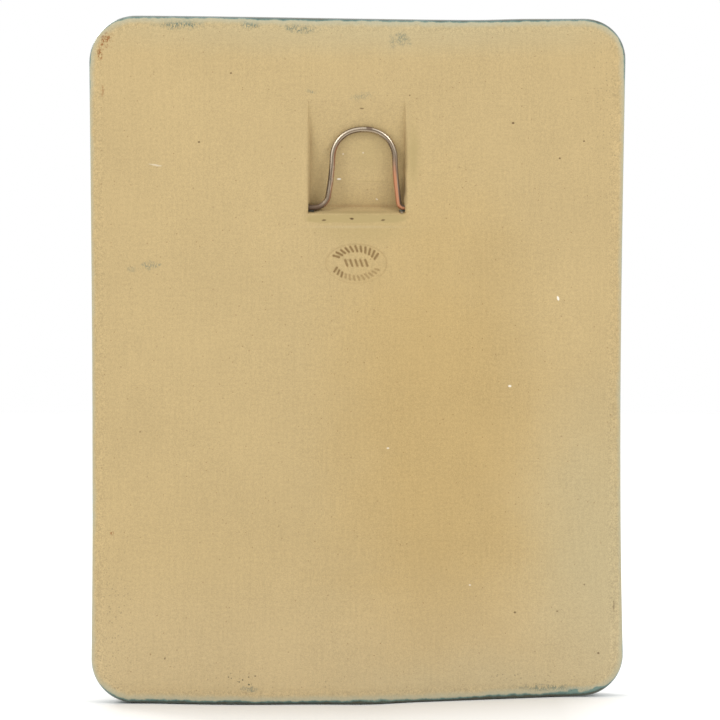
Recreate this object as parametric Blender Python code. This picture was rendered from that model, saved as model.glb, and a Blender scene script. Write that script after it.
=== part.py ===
"""A stoneware wall plaque with a pressed hanging pocket and a loose wire loop.

Metres, +Z up. The back, which lies on the wall, is the plane y = 0 and faces +Y, and
the glazed relief faces -Y. z = 0 is the underside of the wire loop, where a nail
carries the plaque, and x = 0 is the plaque's middle.
"""

import math

import bmesh
import bpy
from mathutils import Matrix, Vector

# The slab seen square on: a hand-pressed rectangle, so no side is quite straight
WIDTH = 0.1814
HEIGHT = 0.2306
TOP_ABOVE_NAIL = 0.0388
CORNER_RADIUS = 0.0143
TOP_LEFT_EXTRA_RADIUS = 0.0018
INNER_CORNER_RADIUS = 0.0070
WIDTH_TAPER = 0.0014
WAIST_LEFT = 0.0008
WAIST_RIGHT = 0.0015
WAIST_LOW = 0.4
TOP_SWAY = 0.00075
TOP_DIP = 0.00035
BOTTOM_SWAY = 0.00125
BOTTOM_BELLY = 0.0019

# The slab's section, from the back to the front
THICKNESS = 0.0160
BACK_MARGIN_WIDTH = 0.0040
BACK_MARGIN_DROP = 0.0004
BACK_ARRIS = 0.0018
SIDE_DRAFT = 0.0008
FRONT_ARRIS = 0.0026
BORDER_WIDTH = 0.0095
BORDER_SLOPE = 0.0024
FIELD_SINK = 0.0026

# The wedge-shaped pocket in the back, and the bevel along its lower lip
POCKET_WIDTH = 0.0329
POCKET_CENTRE_X = 0.0003
POCKET_TOP_ABOVE_NAIL = 0.0106
POCKET_HEIGHT = 0.0356
POCKET_DEPTH = 0.0078
POCKET_SIDE_DRAFT = 0.0003
POCKET_CREASE_RADIUS = 0.0008
LIP_DROP = 0.0027
LIP_DEPTH = 0.0009
LIP_BEVEL_HEIGHT = 0.0036
LIP_BEVEL_OVERHANG = 0.0013

# The wire loop, its two pivot holes, and where it lies at rest
WIRE_DIAMETER = 0.0017
WIRE_FLOOR_GAP = 0.0003
WIRE_WALL_GAP = 0.00029
HINGE_DEPTH = 0.0034
HOLE_PLAY = 0.00075
HOLE_DEPTH = 0.0070
LOOP_SHIFT = -0.0021
ARCH_HALF_WIDTH = 0.0106
ARCH_RISE = 0.0105
ARCH_FULLNESS = 2.2
LEG_SPLAY = 0.0013
BEND_LEFT = 0.0048
BEND_RIGHT = 0.0019
END_IN_LEFT_HOLE = 0.0030
END_IN_RIGHT_HOLE = 0.0046

# The leaf spray in low relief on the front; shares are of the stem's length, from its foot
SPRAY_END_MARGIN = 0.0120
STEM_WIDTH = 0.0052
STEM_RISE = 0.0017
STEM_SWAY = 0.0042
STEM_TAPER = 0.55
STEM_SHARE = 0.80
LEAF_LENGTH = 0.0620
LEAF_WIDTH = 0.0205
LEAF_RISE = 0.0024
LEAF_EDGE_RISE = 0.0010
LEAF_GROOVE = 0.0007
LEAF_BOW = 0.05
LEAF_PAIRS = 4
FIRST_PAIR_SHARE = 0.16
LAST_PAIR_SHARE = 0.88
PAIR_STAGGER = 0.03
LEAF_SHRINK = 0.34
LOW_LEAF_ANGLE = 58
HIGH_LEAF_ANGLE = 36
TOP_LEAF_SHRINK = 0.38
BERRY_RADIUS = 0.0032
BERRY_STALK = 0.0175
BERRY_ANGLE = 68
BERRY_GAP_SHARE = 0.67
STALK_WIDTH = 0.0016

# How finely round shapes are drawn, and how far a joined shape is sunk into its neighbour
CORNER_STEPS = 8
SIDE_STEPS = 8
ARRIS_STEPS = 4
HOLE_SIDES = 20
LEAF_STEPS = 10
STEM_STEPS = 22
WIRE_RINGS = 3
ROOT = 0.0010
CUT_PAST = 0.0020

BACK = 0.0
FRONT = -THICKNESS
FIELD = FRONT + FIELD_SINK
TOP = TOP_ABOVE_NAIL
BOTTOM = TOP_ABOVE_NAIL - HEIGHT
MIDDLE_Z = (TOP + BOTTOM) / 2
WIRE_RADIUS = WIRE_DIAMETER / 2


def clear_scene():
    """Remove whatever the startup file holds."""
    for item in list(bpy.data.objects):
        bpy.data.objects.remove(item, do_unlink=True)


def material(name, colour, roughness, metallic=0.0):
    """Return a Principled material with plain values."""
    made = bpy.data.materials.new(name)
    made.use_nodes = True
    shader = made.node_tree.nodes["Principled BSDF"]
    shader.inputs["Base Color"].default_value = (*colour, 1.0)
    shader.inputs["Roughness"].default_value = roughness
    shader.inputs["Metallic"].default_value = metallic
    made.diffuse_color = (*colour, 1.0)
    return made


def add_object(name, mesh, collection=None):
    """Put a mesh in the scene under this name."""
    made = bpy.data.objects.new(name, mesh)
    (collection or bpy.context.scene.collection).objects.link(made)
    return made


def mesh_from(bm, name):
    """Turn a bmesh into a closed mesh whose faces point outwards."""
    bmesh.ops.recalc_face_normals(bm, faces=bm.faces)
    mesh = bpy.data.meshes.new(name)
    bm.to_mesh(mesh)
    bm.free()
    return mesh


def hand_pressed(x, z):
    """Move a point of the true rectangle to where it lies on the hand-pressed slab."""
    across = 2 * x / WIDTH
    up = 2 * (z - MIDDLE_Z) / HEIGHT
    waist = (WAIST_LEFT if x > 0 else WAIST_RIGHT) * (1 - up * up) * (1 - WAIST_LOW * up)
    sway = math.sin(0.6 * math.pi * across)
    belly = math.cos(0.5 * math.pi * across)
    top_move = TOP_SWAY * sway - TOP_DIP * belly
    bottom_move = -BOTTOM_SWAY * sway - BOTTOM_BELLY * belly
    return (
        x + across * (WIDTH_TAPER / 4 * up - waist),
        z + (1 + up) / 2 * top_move + (1 - up) / 2 * bottom_move,
    )


def outline(inset):
    """Return the slab's rounded outline, drawn in by inset, as points (x, z) in order."""
    radii = [CORNER_RADIUS + TOP_LEFT_EXTRA_RADIUS, CORNER_RADIUS, CORNER_RADIUS, CORNER_RADIUS]
    signs = [(1, 1), (-1, 1), (-1, -1), (1, -1)]
    arcs = []
    for index, (radius, (side, up)) in enumerate(zip(radii, signs)):
        radius = max(radius - inset, INNER_CORNER_RADIUS)
        middle = Vector((side * (WIDTH / 2 - inset - radius), up * (HEIGHT / 2 - inset - radius)))
        angles = [math.pi / 2 * (index + step / CORNER_STEPS) for step in range(CORNER_STEPS + 1)]
        arcs.append([middle + radius * Vector((math.cos(a), math.sin(a))) for a in angles])
    points = []
    for arc, after in zip(arcs, arcs[1:] + arcs[:1]):
        points += arc
        points += [arc[-1].lerp(after[0], step / SIDE_STEPS) for step in range(1, SIDE_STEPS)]
    return [hand_pressed(x, MIDDLE_Z + z) for x, z in points]


def section():
    """Return the slab's section as (inset, depth behind the back), back to front."""
    quarter = [math.pi / 2 * step / ARRIS_STEPS for step in range(ARRIS_STEPS + 1)]
    rings = [(BACK_ARRIS + BACK_MARGIN_WIDTH, 0.0)]
    for angle in quarter:
        depth = BACK_MARGIN_DROP + BACK_ARRIS * (1 - math.cos(angle))
        rings.append((BACK_ARRIS * (1 - math.sin(angle)), depth))
    for angle in quarter:
        depth = THICKNESS - FRONT_ARRIS * (1 - math.sin(angle))
        rings.append((SIDE_DRAFT + FRONT_ARRIS * (1 - math.cos(angle)), depth))
    for share in (0.0, 0.5, 1.0):
        fall = FIELD_SINK * (1 - math.cos(math.pi * share)) / 2
        rings.append((SIDE_DRAFT + BORDER_WIDTH + BORDER_SLOPE * share, THICKNESS - fall))
    return rings


def slab_mesh():
    """Build the slab: an outline at each step of the section, skinned and capped."""
    bm = bmesh.new()
    rings = []
    for inset, depth in section():
        rings.append([bm.verts.new((x, BACK - depth, z)) for x, z in outline(inset)])
    for first, second in zip(rings, rings[1:]):
        sides = zip(first, first[1:] + first[:1], second[1:] + second[:1], second)
        for corners in sides:
            bm.faces.new(corners)
    bm.faces.new(rings[0])
    bm.faces.new(rings[-1])
    return mesh_from(bm, "plaque")


def pocket_floor_depth(z):
    """Return how deep the pocket's floor lies at this height."""
    return POCKET_DEPTH * (POCKET_TOP_ABOVE_NAIL - z) / POCKET_HEIGHT


def pocket_wall_z(depth):
    """Return the height of the pocket's bottom wall at this depth."""
    crease = POCKET_TOP_ABOVE_NAIL - POCKET_HEIGHT
    return crease - LIP_DROP * (POCKET_DEPTH - depth) / (POCKET_DEPTH - LIP_DEPTH)


def wedge_mesh(name, profile, half_width, draft, rounded=None):
    """Extrude a profile of (y, z) along X, narrower by draft for each metre of depth."""
    bm = bmesh.new()
    verts = [bm.verts.new((-half_width - draft * y, y, z)) for y, z in profile]
    face = bm.faces.new(verts)
    made = bmesh.ops.extrude_face_region(bm, geom=[face])["geom"]
    for vert in (item for item in made if isinstance(item, bmesh.types.BMVert)):
        vert.co.x = half_width + draft * vert.co.y
    if rounded is not None:
        y, z = profile[rounded]
        ends = {v for v in bm.verts if abs(v.co.y - y) + abs(v.co.z - z) < 1e-6}
        crease = [edge for edge in bm.edges if set(edge.verts) <= ends]
        bmesh.ops.bevel(
            bm, geom=crease, offset=POCKET_CREASE_RADIUS, segments=3, profile=0.5, affect="EDGES"
        )
    bmesh.ops.translate(bm, verts=bm.verts, vec=(POCKET_CENTRE_X, 0, 0))
    return mesh_from(bm, name)


def pocket_mesh():
    """Build the wedge that leaves the pocket, with its crease rounded."""
    slope = POCKET_HEIGHT / POCKET_DEPTH
    crease = POCKET_TOP_ABOVE_NAIL - POCKET_HEIGHT
    lip = crease - LIP_DROP
    profile = [
        (CUT_PAST, POCKET_TOP_ABOVE_NAIL + slope * CUT_PAST),
        (-POCKET_DEPTH, crease),
        (-LIP_DEPTH, lip),
        (CUT_PAST, lip),
    ]
    draft = POCKET_SIDE_DRAFT / POCKET_DEPTH
    return wedge_mesh("pocket", profile, POCKET_WIDTH / 2, draft, rounded=1)


def lip_bevel_mesh():
    """Build the shallow wedge that bevels the pocket's lower lip."""
    lip = POCKET_TOP_ABOVE_NAIL - POCKET_HEIGHT - LIP_DROP
    slope = LIP_BEVEL_HEIGHT / LIP_DEPTH
    profile = [
        (-LIP_DEPTH, lip),
        (CUT_PAST, lip - LIP_BEVEL_HEIGHT - slope * CUT_PAST),
        (CUT_PAST, lip + LIP_BEVEL_OVERHANG),
        (0.0, lip + LIP_BEVEL_OVERHANG),
    ]
    half = POCKET_WIDTH / 2 + LIP_BEVEL_OVERHANG
    return wedge_mesh("lip_bevel", profile, half, LIP_BEVEL_OVERHANG / LIP_DEPTH / 2)


def hinge_point():
    """Return the middle of the wire's pivot axis, just above the pocket's bottom wall."""
    lean = math.atan2(LIP_DROP, POCKET_DEPTH - LIP_DEPTH)
    clear = (WIRE_RADIUS + WIRE_WALL_GAP) / math.cos(lean)
    return Vector((0.0, -HINGE_DEPTH, pocket_wall_z(HINGE_DEPTH) + clear))


def arch_point():
    """Return the middle of the arch's wire, resting just off the pocket's floor."""
    lean = math.atan2(POCKET_DEPTH, POCKET_HEIGHT)
    clear = (WIRE_RADIUS + WIRE_FLOOR_GAP) / math.cos(lean)
    return Vector((0.0, clear - pocket_floor_depth(WIRE_RADIUS), WIRE_RADIUS))


def hole_mesh(side):
    """Build the rod that leaves one pivot hole; side is 1 for +X and -1 for -X."""
    wall = POCKET_CENTRE_X + side * POCKET_WIDTH / 2
    inner = wall - side * CUT_PAST
    outer = wall + side * HOLE_DEPTH
    bm = bmesh.new()
    bmesh.ops.create_cone(
        bm,
        cap_ends=True,
        segments=HOLE_SIDES,
        radius1=WIRE_RADIUS + HOLE_PLAY,
        radius2=WIRE_RADIUS + HOLE_PLAY,
        depth=HOLE_DEPTH + CUT_PAST,
    )
    bmesh.ops.rotate(bm, verts=bm.verts, matrix=Matrix.Rotation(math.pi / 2, 3, "Y"))
    middle = hinge_point() + Vector(((inner + outer) / 2, 0, 0))
    bmesh.ops.translate(bm, verts=bm.verts, vec=middle)
    return mesh_from(bm, "hole")


def loop_half(height, bend, end_x):
    """Return half of the loop in its own plane, from the top of the arch to the end."""
    leg_x = ARCH_HALF_WIDTH + LEG_SPLAY
    shoulder = height - ARCH_RISE
    points = []
    for step in range(1, 11):
        angle = math.pi / 2 * (1 - step / 10)
        x = ARCH_HALF_WIDTH * math.cos(angle) ** (2 / ARCH_FULLNESS)
        points.append((x, shoulder + ARCH_RISE * math.sin(angle) ** (2 / ARCH_FULLNESS)))
    for step in range(1, 7):
        share = step / 6
        x = ARCH_HALF_WIDTH + LEG_SPLAY * share ** 1.5
        points.append((x, shoulder + (bend - shoulder) * share))
    for step in range(1, 7):
        angle = math.pi / 2 * step / 6
        points.append((leg_x + bend * (1 - math.cos(angle)), bend * (1 - math.sin(angle))))
    points.append((end_x, 0.0))
    return points


def wire_path(height):
    """Return the wire's middle line as (x, height above the pivot axis), end to end."""
    right_wall = POCKET_WIDTH / 2 - POCKET_CENTRE_X
    left_wall = POCKET_WIDTH / 2 + POCKET_CENTRE_X
    left = loop_half(height, BEND_LEFT, left_wall + END_IN_LEFT_HOLE - LOOP_SHIFT)
    right = loop_half(height, BEND_RIGHT, right_wall + END_IN_RIGHT_HOLE + LOOP_SHIFT)
    across = [(-x, h) for x, h in reversed(right)] + [(0.0, height)] + left
    return [(x + LOOP_SHIFT, h) for x, h in across]


def leaf_mesh(name, length, side):
    """Build one leaf lying along +X and rising along +Z, with a groove down its rib."""
    bm = bmesh.new()
    bmesh.ops.create_grid(bm, x_segments=LEAF_STEPS, y_segments=4, size=1)
    edges = [edge for edge in bm.edges if edge.is_boundary]
    sunk = bmesh.ops.extrude_edge_only(bm, edges=edges)["geom"]
    low = {item for item in sunk if isinstance(item, bmesh.types.BMVert)}
    rim = [item for item in sunk if isinstance(item, bmesh.types.BMEdge)]
    bmesh.ops.contextual_create(bm, geom=rim)
    half = LEAF_WIDTH / 2 * length / LEAF_LENGTH
    for vert in bm.verts:
        along = (vert.co.x + 1) / 2
        across = vert.co.y
        swell = math.sin(math.pi * min(max(along, 0.02), 0.98) ** 0.85)
        rib = max(0.0, 1 - abs(across) / 0.5)
        dome = LEAF_EDGE_RISE + (LEAF_RISE - LEAF_EDGE_RISE) * (1 - across * across)
        rise = dome * math.sqrt(swell) - LEAF_GROOVE * rib * swell
        bend = side * LEAF_BOW * length * math.sin(math.pi * along)
        height = -ROOT if vert in low else rise
        vert.co = Vector((length * along, half * swell * across + bend, height))
    return mesh_from(bm, name)


def stem_point(share):
    """Return a point (x, z) of the stem, from its foot at 0 to its tip at 1."""
    field_low = BOTTOM + SIDE_DRAFT + BORDER_WIDTH + BORDER_SLOPE
    field_high = TOP - SIDE_DRAFT - BORDER_WIDTH - BORDER_SLOPE
    spray = field_high - field_low - 2 * SPRAY_END_MARGIN
    z = field_low + SPRAY_END_MARGIN + spray * STEM_SHARE * share
    return Vector((STEM_SWAY * math.sin(1.6 * math.pi * share), 0.0, z))


def stem_mesh():
    """Build the stem: a half-round rib that narrows towards its tip."""
    bm = bmesh.new()
    bmesh.ops.create_grid(bm, x_segments=STEM_STEPS, y_segments=4, size=1)
    edges = [edge for edge in bm.edges if edge.is_boundary]
    sunk = bmesh.ops.extrude_edge_only(bm, edges=edges)["geom"]
    low = {item for item in sunk if isinstance(item, bmesh.types.BMVert)}
    rim = [item for item in sunk if isinstance(item, bmesh.types.BMEdge)]
    bmesh.ops.contextual_create(bm, geom=rim)
    for vert in bm.verts:
        share = (vert.co.x + 1) / 2
        across = vert.co.y
        narrow = 1 - STEM_TAPER * share
        rise = STEM_RISE * math.sqrt(narrow * (1 - 0.9 * across * across))
        middle = stem_point(share)
        depth = -ROOT if vert in low else rise
        vert.co = Vector((middle.x - across * STEM_WIDTH / 2 * narrow, FIELD - depth, middle.z))
    return mesh_from(bm, "stem")


def turned(x, z, angle):
    """Place a relief shape on the field: its +X along this angle, its +Z off the field."""
    along = Vector((math.cos(angle), 0, math.sin(angle)))
    across = Vector((-math.sin(angle), 0, math.cos(angle)))
    out = Vector((0, -1, 0))
    basis = Matrix((along, across, out)).transposed().to_4x4()
    return Matrix.Translation((x, FIELD, z)) @ basis


def pair_share(pair):
    """Return how far up the stem a leaf pair grows; parts of a pair lie between two."""
    step = (LAST_PAIR_SHARE - FIRST_PAIR_SHARE) / max(LEAF_PAIRS - 1, 1)
    return FIRST_PAIR_SHARE + step * pair


def add_leaves(collection):
    """Add the leaf pairs and the top leaf, shorter and steeper towards the tip."""
    for pair in range(LEAF_PAIRS):
        share = pair_share(pair)
        length = LEAF_LENGTH * (1 - LEAF_SHRINK * share)
        lean = math.radians(LOW_LEAF_ANGLE + (HIGH_LEAF_ANGLE - LOW_LEAF_ANGLE) * share)
        for side in (-1, 1):
            root = stem_point(share + PAIR_STAGGER * side)
            leaf = add_object(f"leaf_{pair}_{side + 1}", leaf_mesh("leaf", length, side), collection)
            leaf.matrix_world = turned(root.x, root.z, math.pi / 2 - side * lean)
    tip = stem_point(1 - PAIR_STAGGER)
    leaf = leaf_mesh("leaf", LEAF_LENGTH * (1 - TOP_LEAF_SHRINK), 1)
    add_object("leaf_top", leaf, collection).matrix_world = turned(tip.x, tip.z, math.pi / 2)


def berry_mesh():
    """Build a berry: a ball flattened to the height of the leaves, at its stalk's end."""
    bm = bmesh.new()
    bmesh.ops.create_uvsphere(bm, u_segments=12, v_segments=8, radius=BERRY_RADIUS)
    bmesh.ops.scale(bm, verts=bm.verts, vec=(1, 1, LEAF_RISE / BERRY_RADIUS))
    bmesh.ops.translate(bm, verts=bm.verts, vec=(BERRY_STALK, 0, 0))
    return mesh_from(bm, "berry")


def stalk_mesh():
    """Build a berry's stalk: a low square rib from the stem to the berry's middle."""
    rise = STALK_WIDTH / 2
    bm = bmesh.new()
    bmesh.ops.create_cube(bm, size=1)
    bmesh.ops.scale(bm, verts=bm.verts, vec=(BERRY_STALK, STALK_WIDTH, rise + ROOT))
    bmesh.ops.translate(bm, verts=bm.verts, vec=(BERRY_STALK / 2, 0, (rise - ROOT) / 2))
    return mesh_from(bm, "stalk")


def add_berries(collection):
    """Add one berry on its stalk on each side between the leaf pairs."""
    for gap in range(LEAF_PAIRS - 1):
        for side in (-1, 1):
            root = stem_point(pair_share(gap + BERRY_GAP_SHARE) + PAIR_STAGGER * side)
            place = turned(root.x, root.z, math.pi / 2 - side * math.radians(BERRY_ANGLE))
            for name, mesh in (("berry", berry_mesh()), ("stalk", stalk_mesh())):
                item = add_object(f"{name}_{gap}_{side + 1}", mesh, collection)
                item.matrix_world = place


def helper_collection(name):
    """Return a new collection for shapes that only cut or join."""
    made = bpy.data.collections.new(name)
    bpy.context.scene.collection.children.link(made)
    return made


def hide_helpers(collection):
    """Keep cutting and joining shapes out of the finished model."""
    for item in collection.objects:
        item.hide_render = True
        item.display_type = "WIRE"


def add_boolean(body, operation, collection):
    """Cut or join every shape of a collection with the EXACT solver."""
    modifier = body.modifiers.new(operation.lower(), "BOOLEAN")
    modifier.operation = operation
    modifier.operand_type = "COLLECTION"
    modifier.collection = collection
    modifier.solver = "EXACT"


def build_plaque():
    """Build the slab, join the relief to its front, and cut the pocket and the holes."""
    clay = material("bare_stoneware", (0.60, 0.45, 0.22), 0.9)
    glaze = material("blue_green_glaze", (0.05, 0.16, 0.15), 0.25)
    body = add_object("plaque", slab_mesh())
    body.data.materials.append(clay)
    body.data.materials.append(glaze)
    for face in body.data.polygons:
        face.material_index = int(face.center.y < BACK - BACK_MARGIN_DROP)

    relief = helper_collection("relief")
    add_object("stem", stem_mesh(), relief)
    add_leaves(relief)
    add_berries(relief)
    for item in relief.objects:
        item.data.materials.append(glaze)
    hide_helpers(relief)

    cuts = helper_collection("cuts")
    add_object("pocket_cut", pocket_mesh(), cuts)
    add_object("lip_bevel_cut", lip_bevel_mesh(), cuts)
    add_object("hole_cut_left", hole_mesh(1), cuts)
    add_object("hole_cut_right", hole_mesh(-1), cuts)
    for item in cuts.objects:
        item.data.materials.append(clay)
    hide_helpers(cuts)

    add_boolean(body, "UNION", relief)
    add_boolean(body, "DIFFERENCE", cuts)
    body.data.shade_smooth()
    body.data.set_sharp_from_angle(angle=math.radians(40))
    return body


def build_wire():
    """Bend the wire loop, with its origin on its pivot axis."""
    steel = material("oxidised_steel", (0.20, 0.19, 0.19), 0.38, 0.9)
    hinge = hinge_point()
    reach = arch_point() - hinge
    curve = bpy.data.curves.new("hanger_wire", "CURVE")
    curve.dimensions = "3D"
    curve.twist_mode = "MINIMUM"
    curve.bevel_depth = WIRE_RADIUS
    curve.bevel_resolution = WIRE_RINGS
    curve.use_fill_caps = True
    points = wire_path(math.hypot(reach.y, reach.z))
    spline = curve.splines.new("POLY")
    spline.points.add(len(points) - 1)
    for point, (x, height) in zip(spline.points, points):
        point.co = (x, 0.0, height, 1.0)
    spline.use_smooth = True
    curve.materials.append(steel)
    wire = bpy.data.objects.new("hanger_wire", curve)
    bpy.context.scene.collection.objects.link(wire)
    wire.location = hinge
    wire.rotation_euler.x = -math.atan2(reach.y, reach.z)
    return wire


def main():
    """Model the plaque and its wire loop."""
    clear_scene()
    build_plaque()
    build_wire()


main()
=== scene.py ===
"""Looks of the hand-pressed stoneware wall plaque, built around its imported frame.

Metres, +Z up. The bare back faces +Y, the glazed relief faces -Y, and z = 0 is where a
nail carries the plaque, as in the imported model.
"""

import logging
import math
from dataclasses import dataclass, field
from enum import Enum

import bmesh
import bpy
import numpy as np
from mathutils import Matrix, Vector


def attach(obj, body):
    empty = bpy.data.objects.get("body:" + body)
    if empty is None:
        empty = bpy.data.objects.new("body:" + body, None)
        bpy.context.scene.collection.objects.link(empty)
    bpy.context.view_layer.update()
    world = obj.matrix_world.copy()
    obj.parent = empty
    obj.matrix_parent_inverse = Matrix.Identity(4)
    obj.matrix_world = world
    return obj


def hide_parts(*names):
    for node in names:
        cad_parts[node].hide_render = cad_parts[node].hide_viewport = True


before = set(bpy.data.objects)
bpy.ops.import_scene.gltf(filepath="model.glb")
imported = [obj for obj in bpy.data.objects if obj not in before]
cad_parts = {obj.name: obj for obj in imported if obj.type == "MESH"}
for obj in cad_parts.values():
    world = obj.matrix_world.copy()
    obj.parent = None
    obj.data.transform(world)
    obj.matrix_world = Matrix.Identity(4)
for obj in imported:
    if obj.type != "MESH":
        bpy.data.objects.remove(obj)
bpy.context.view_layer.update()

log = logging.getLogger("plaque")
MM = 0.001
Array = np.ndarray
Socket = bpy.types.NodeSocket
Colour = tuple[float, float, float]
Band = tuple[float, float]
NUMBER = "NodeSocketFloat"
VECTOR = "NodeSocketVector"
TINY = 1e-6


def paint(red: int, green: int, blue: int) -> Colour:
    """Return the linear colour of a display colour given in steps of 255."""
    shares = [value / 255 for value in (red, green, blue)]
    return tuple(s / 12.92 if s <= 0.04045 else ((s + 0.055) / 1.055) ** 2.4 for s in shares)


def smooth_share(value: Array) -> Array:
    """Return 0 below 0, 1 above 1 and a smooth rise between."""
    held = np.clip(value, 0.0, 1.0)
    return held * held * (3 - 2 * held)


def bell(value: Array, middle: float, reach: float) -> Array:
    """Return 1 at the middle and a fall to both sides, nearly to 0 at twice the reach."""
    return np.exp(-(((value - middle) / reach) ** 2))


def between(first: Array, second: Array, share: Array) -> Array:
    """Return the point that lies this share of the way from first to second."""
    return first + (second - first) * share


def spaced(stops: list[tuple[float, int]]) -> Array:
    """Return positions along a line, evenly spaced between stops.

    Args:
        stops: Each stop's position, and how many steps lead to it from the one before.

    Returns:
        The positions, in order, with both ends.
    """
    places = [stops[0][0]]
    for (start, _), (end, steps) in zip(stops, stops[1:]):
        places += [start + (end - start) * step / steps for step in range(1, steps + 1)]
    return np.array(places)


def turned(x: Array, z: Array, root_x: float, root_z: float, angle: float) -> tuple[Array, Array]:
    """Return how far points lie along a direction from a root, and how far to its left."""
    along = (x - root_x) * math.cos(angle) + (z - root_z) * math.sin(angle)
    off = -(x - root_x) * math.sin(angle) + (z - root_z) * math.cos(angle)
    return along, off


def on_line(share: Array, line: Array) -> Array:
    """Return the places on a line of lattice stops, for shares from -1 to 1 of its steps."""
    steps = len(line) - 1
    return np.interp((share + 1) / 2 * steps, np.arange(steps + 1), line)


def place_object(name: str, data: bpy.types.ID) -> bpy.types.Object:
    """Put a new object in the scene."""
    made = bpy.data.objects.new(name, data)
    bpy.context.scene.collection.objects.link(made)
    return made


def mesh_from(bm: bmesh.types.BMesh, name: str) -> bpy.types.Mesh:
    """Turn finished bmesh work into a mesh of this name."""
    mesh = bpy.data.meshes.new(name)
    bm.to_mesh(mesh)
    bm.free()
    return mesh


def read_points(mesh: bpy.types.Mesh, key: str = "co") -> Array:
    """Return the vertices' places or normals, one row each."""
    flat = np.zeros(len(mesh.vertices) * 3)
    mesh.vertices.foreach_get(key, flat)
    return flat.reshape(-1, 3)


def move_points(mesh: bpy.types.Mesh, points: Array) -> None:
    """Move the vertices to new places."""
    mesh.vertices.foreach_set("co", points.astype(np.float32).ravel())


def keep_values(mesh: bpy.types.Mesh, kept: dict[str, Array]) -> None:
    """Keep named values on the vertices, for the materials."""
    for name, values in kept.items():
        layer = mesh.attributes.new(name, "FLOAT", "POINT")
        layer.data.foreach_set("value", values.astype(np.float32))


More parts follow.
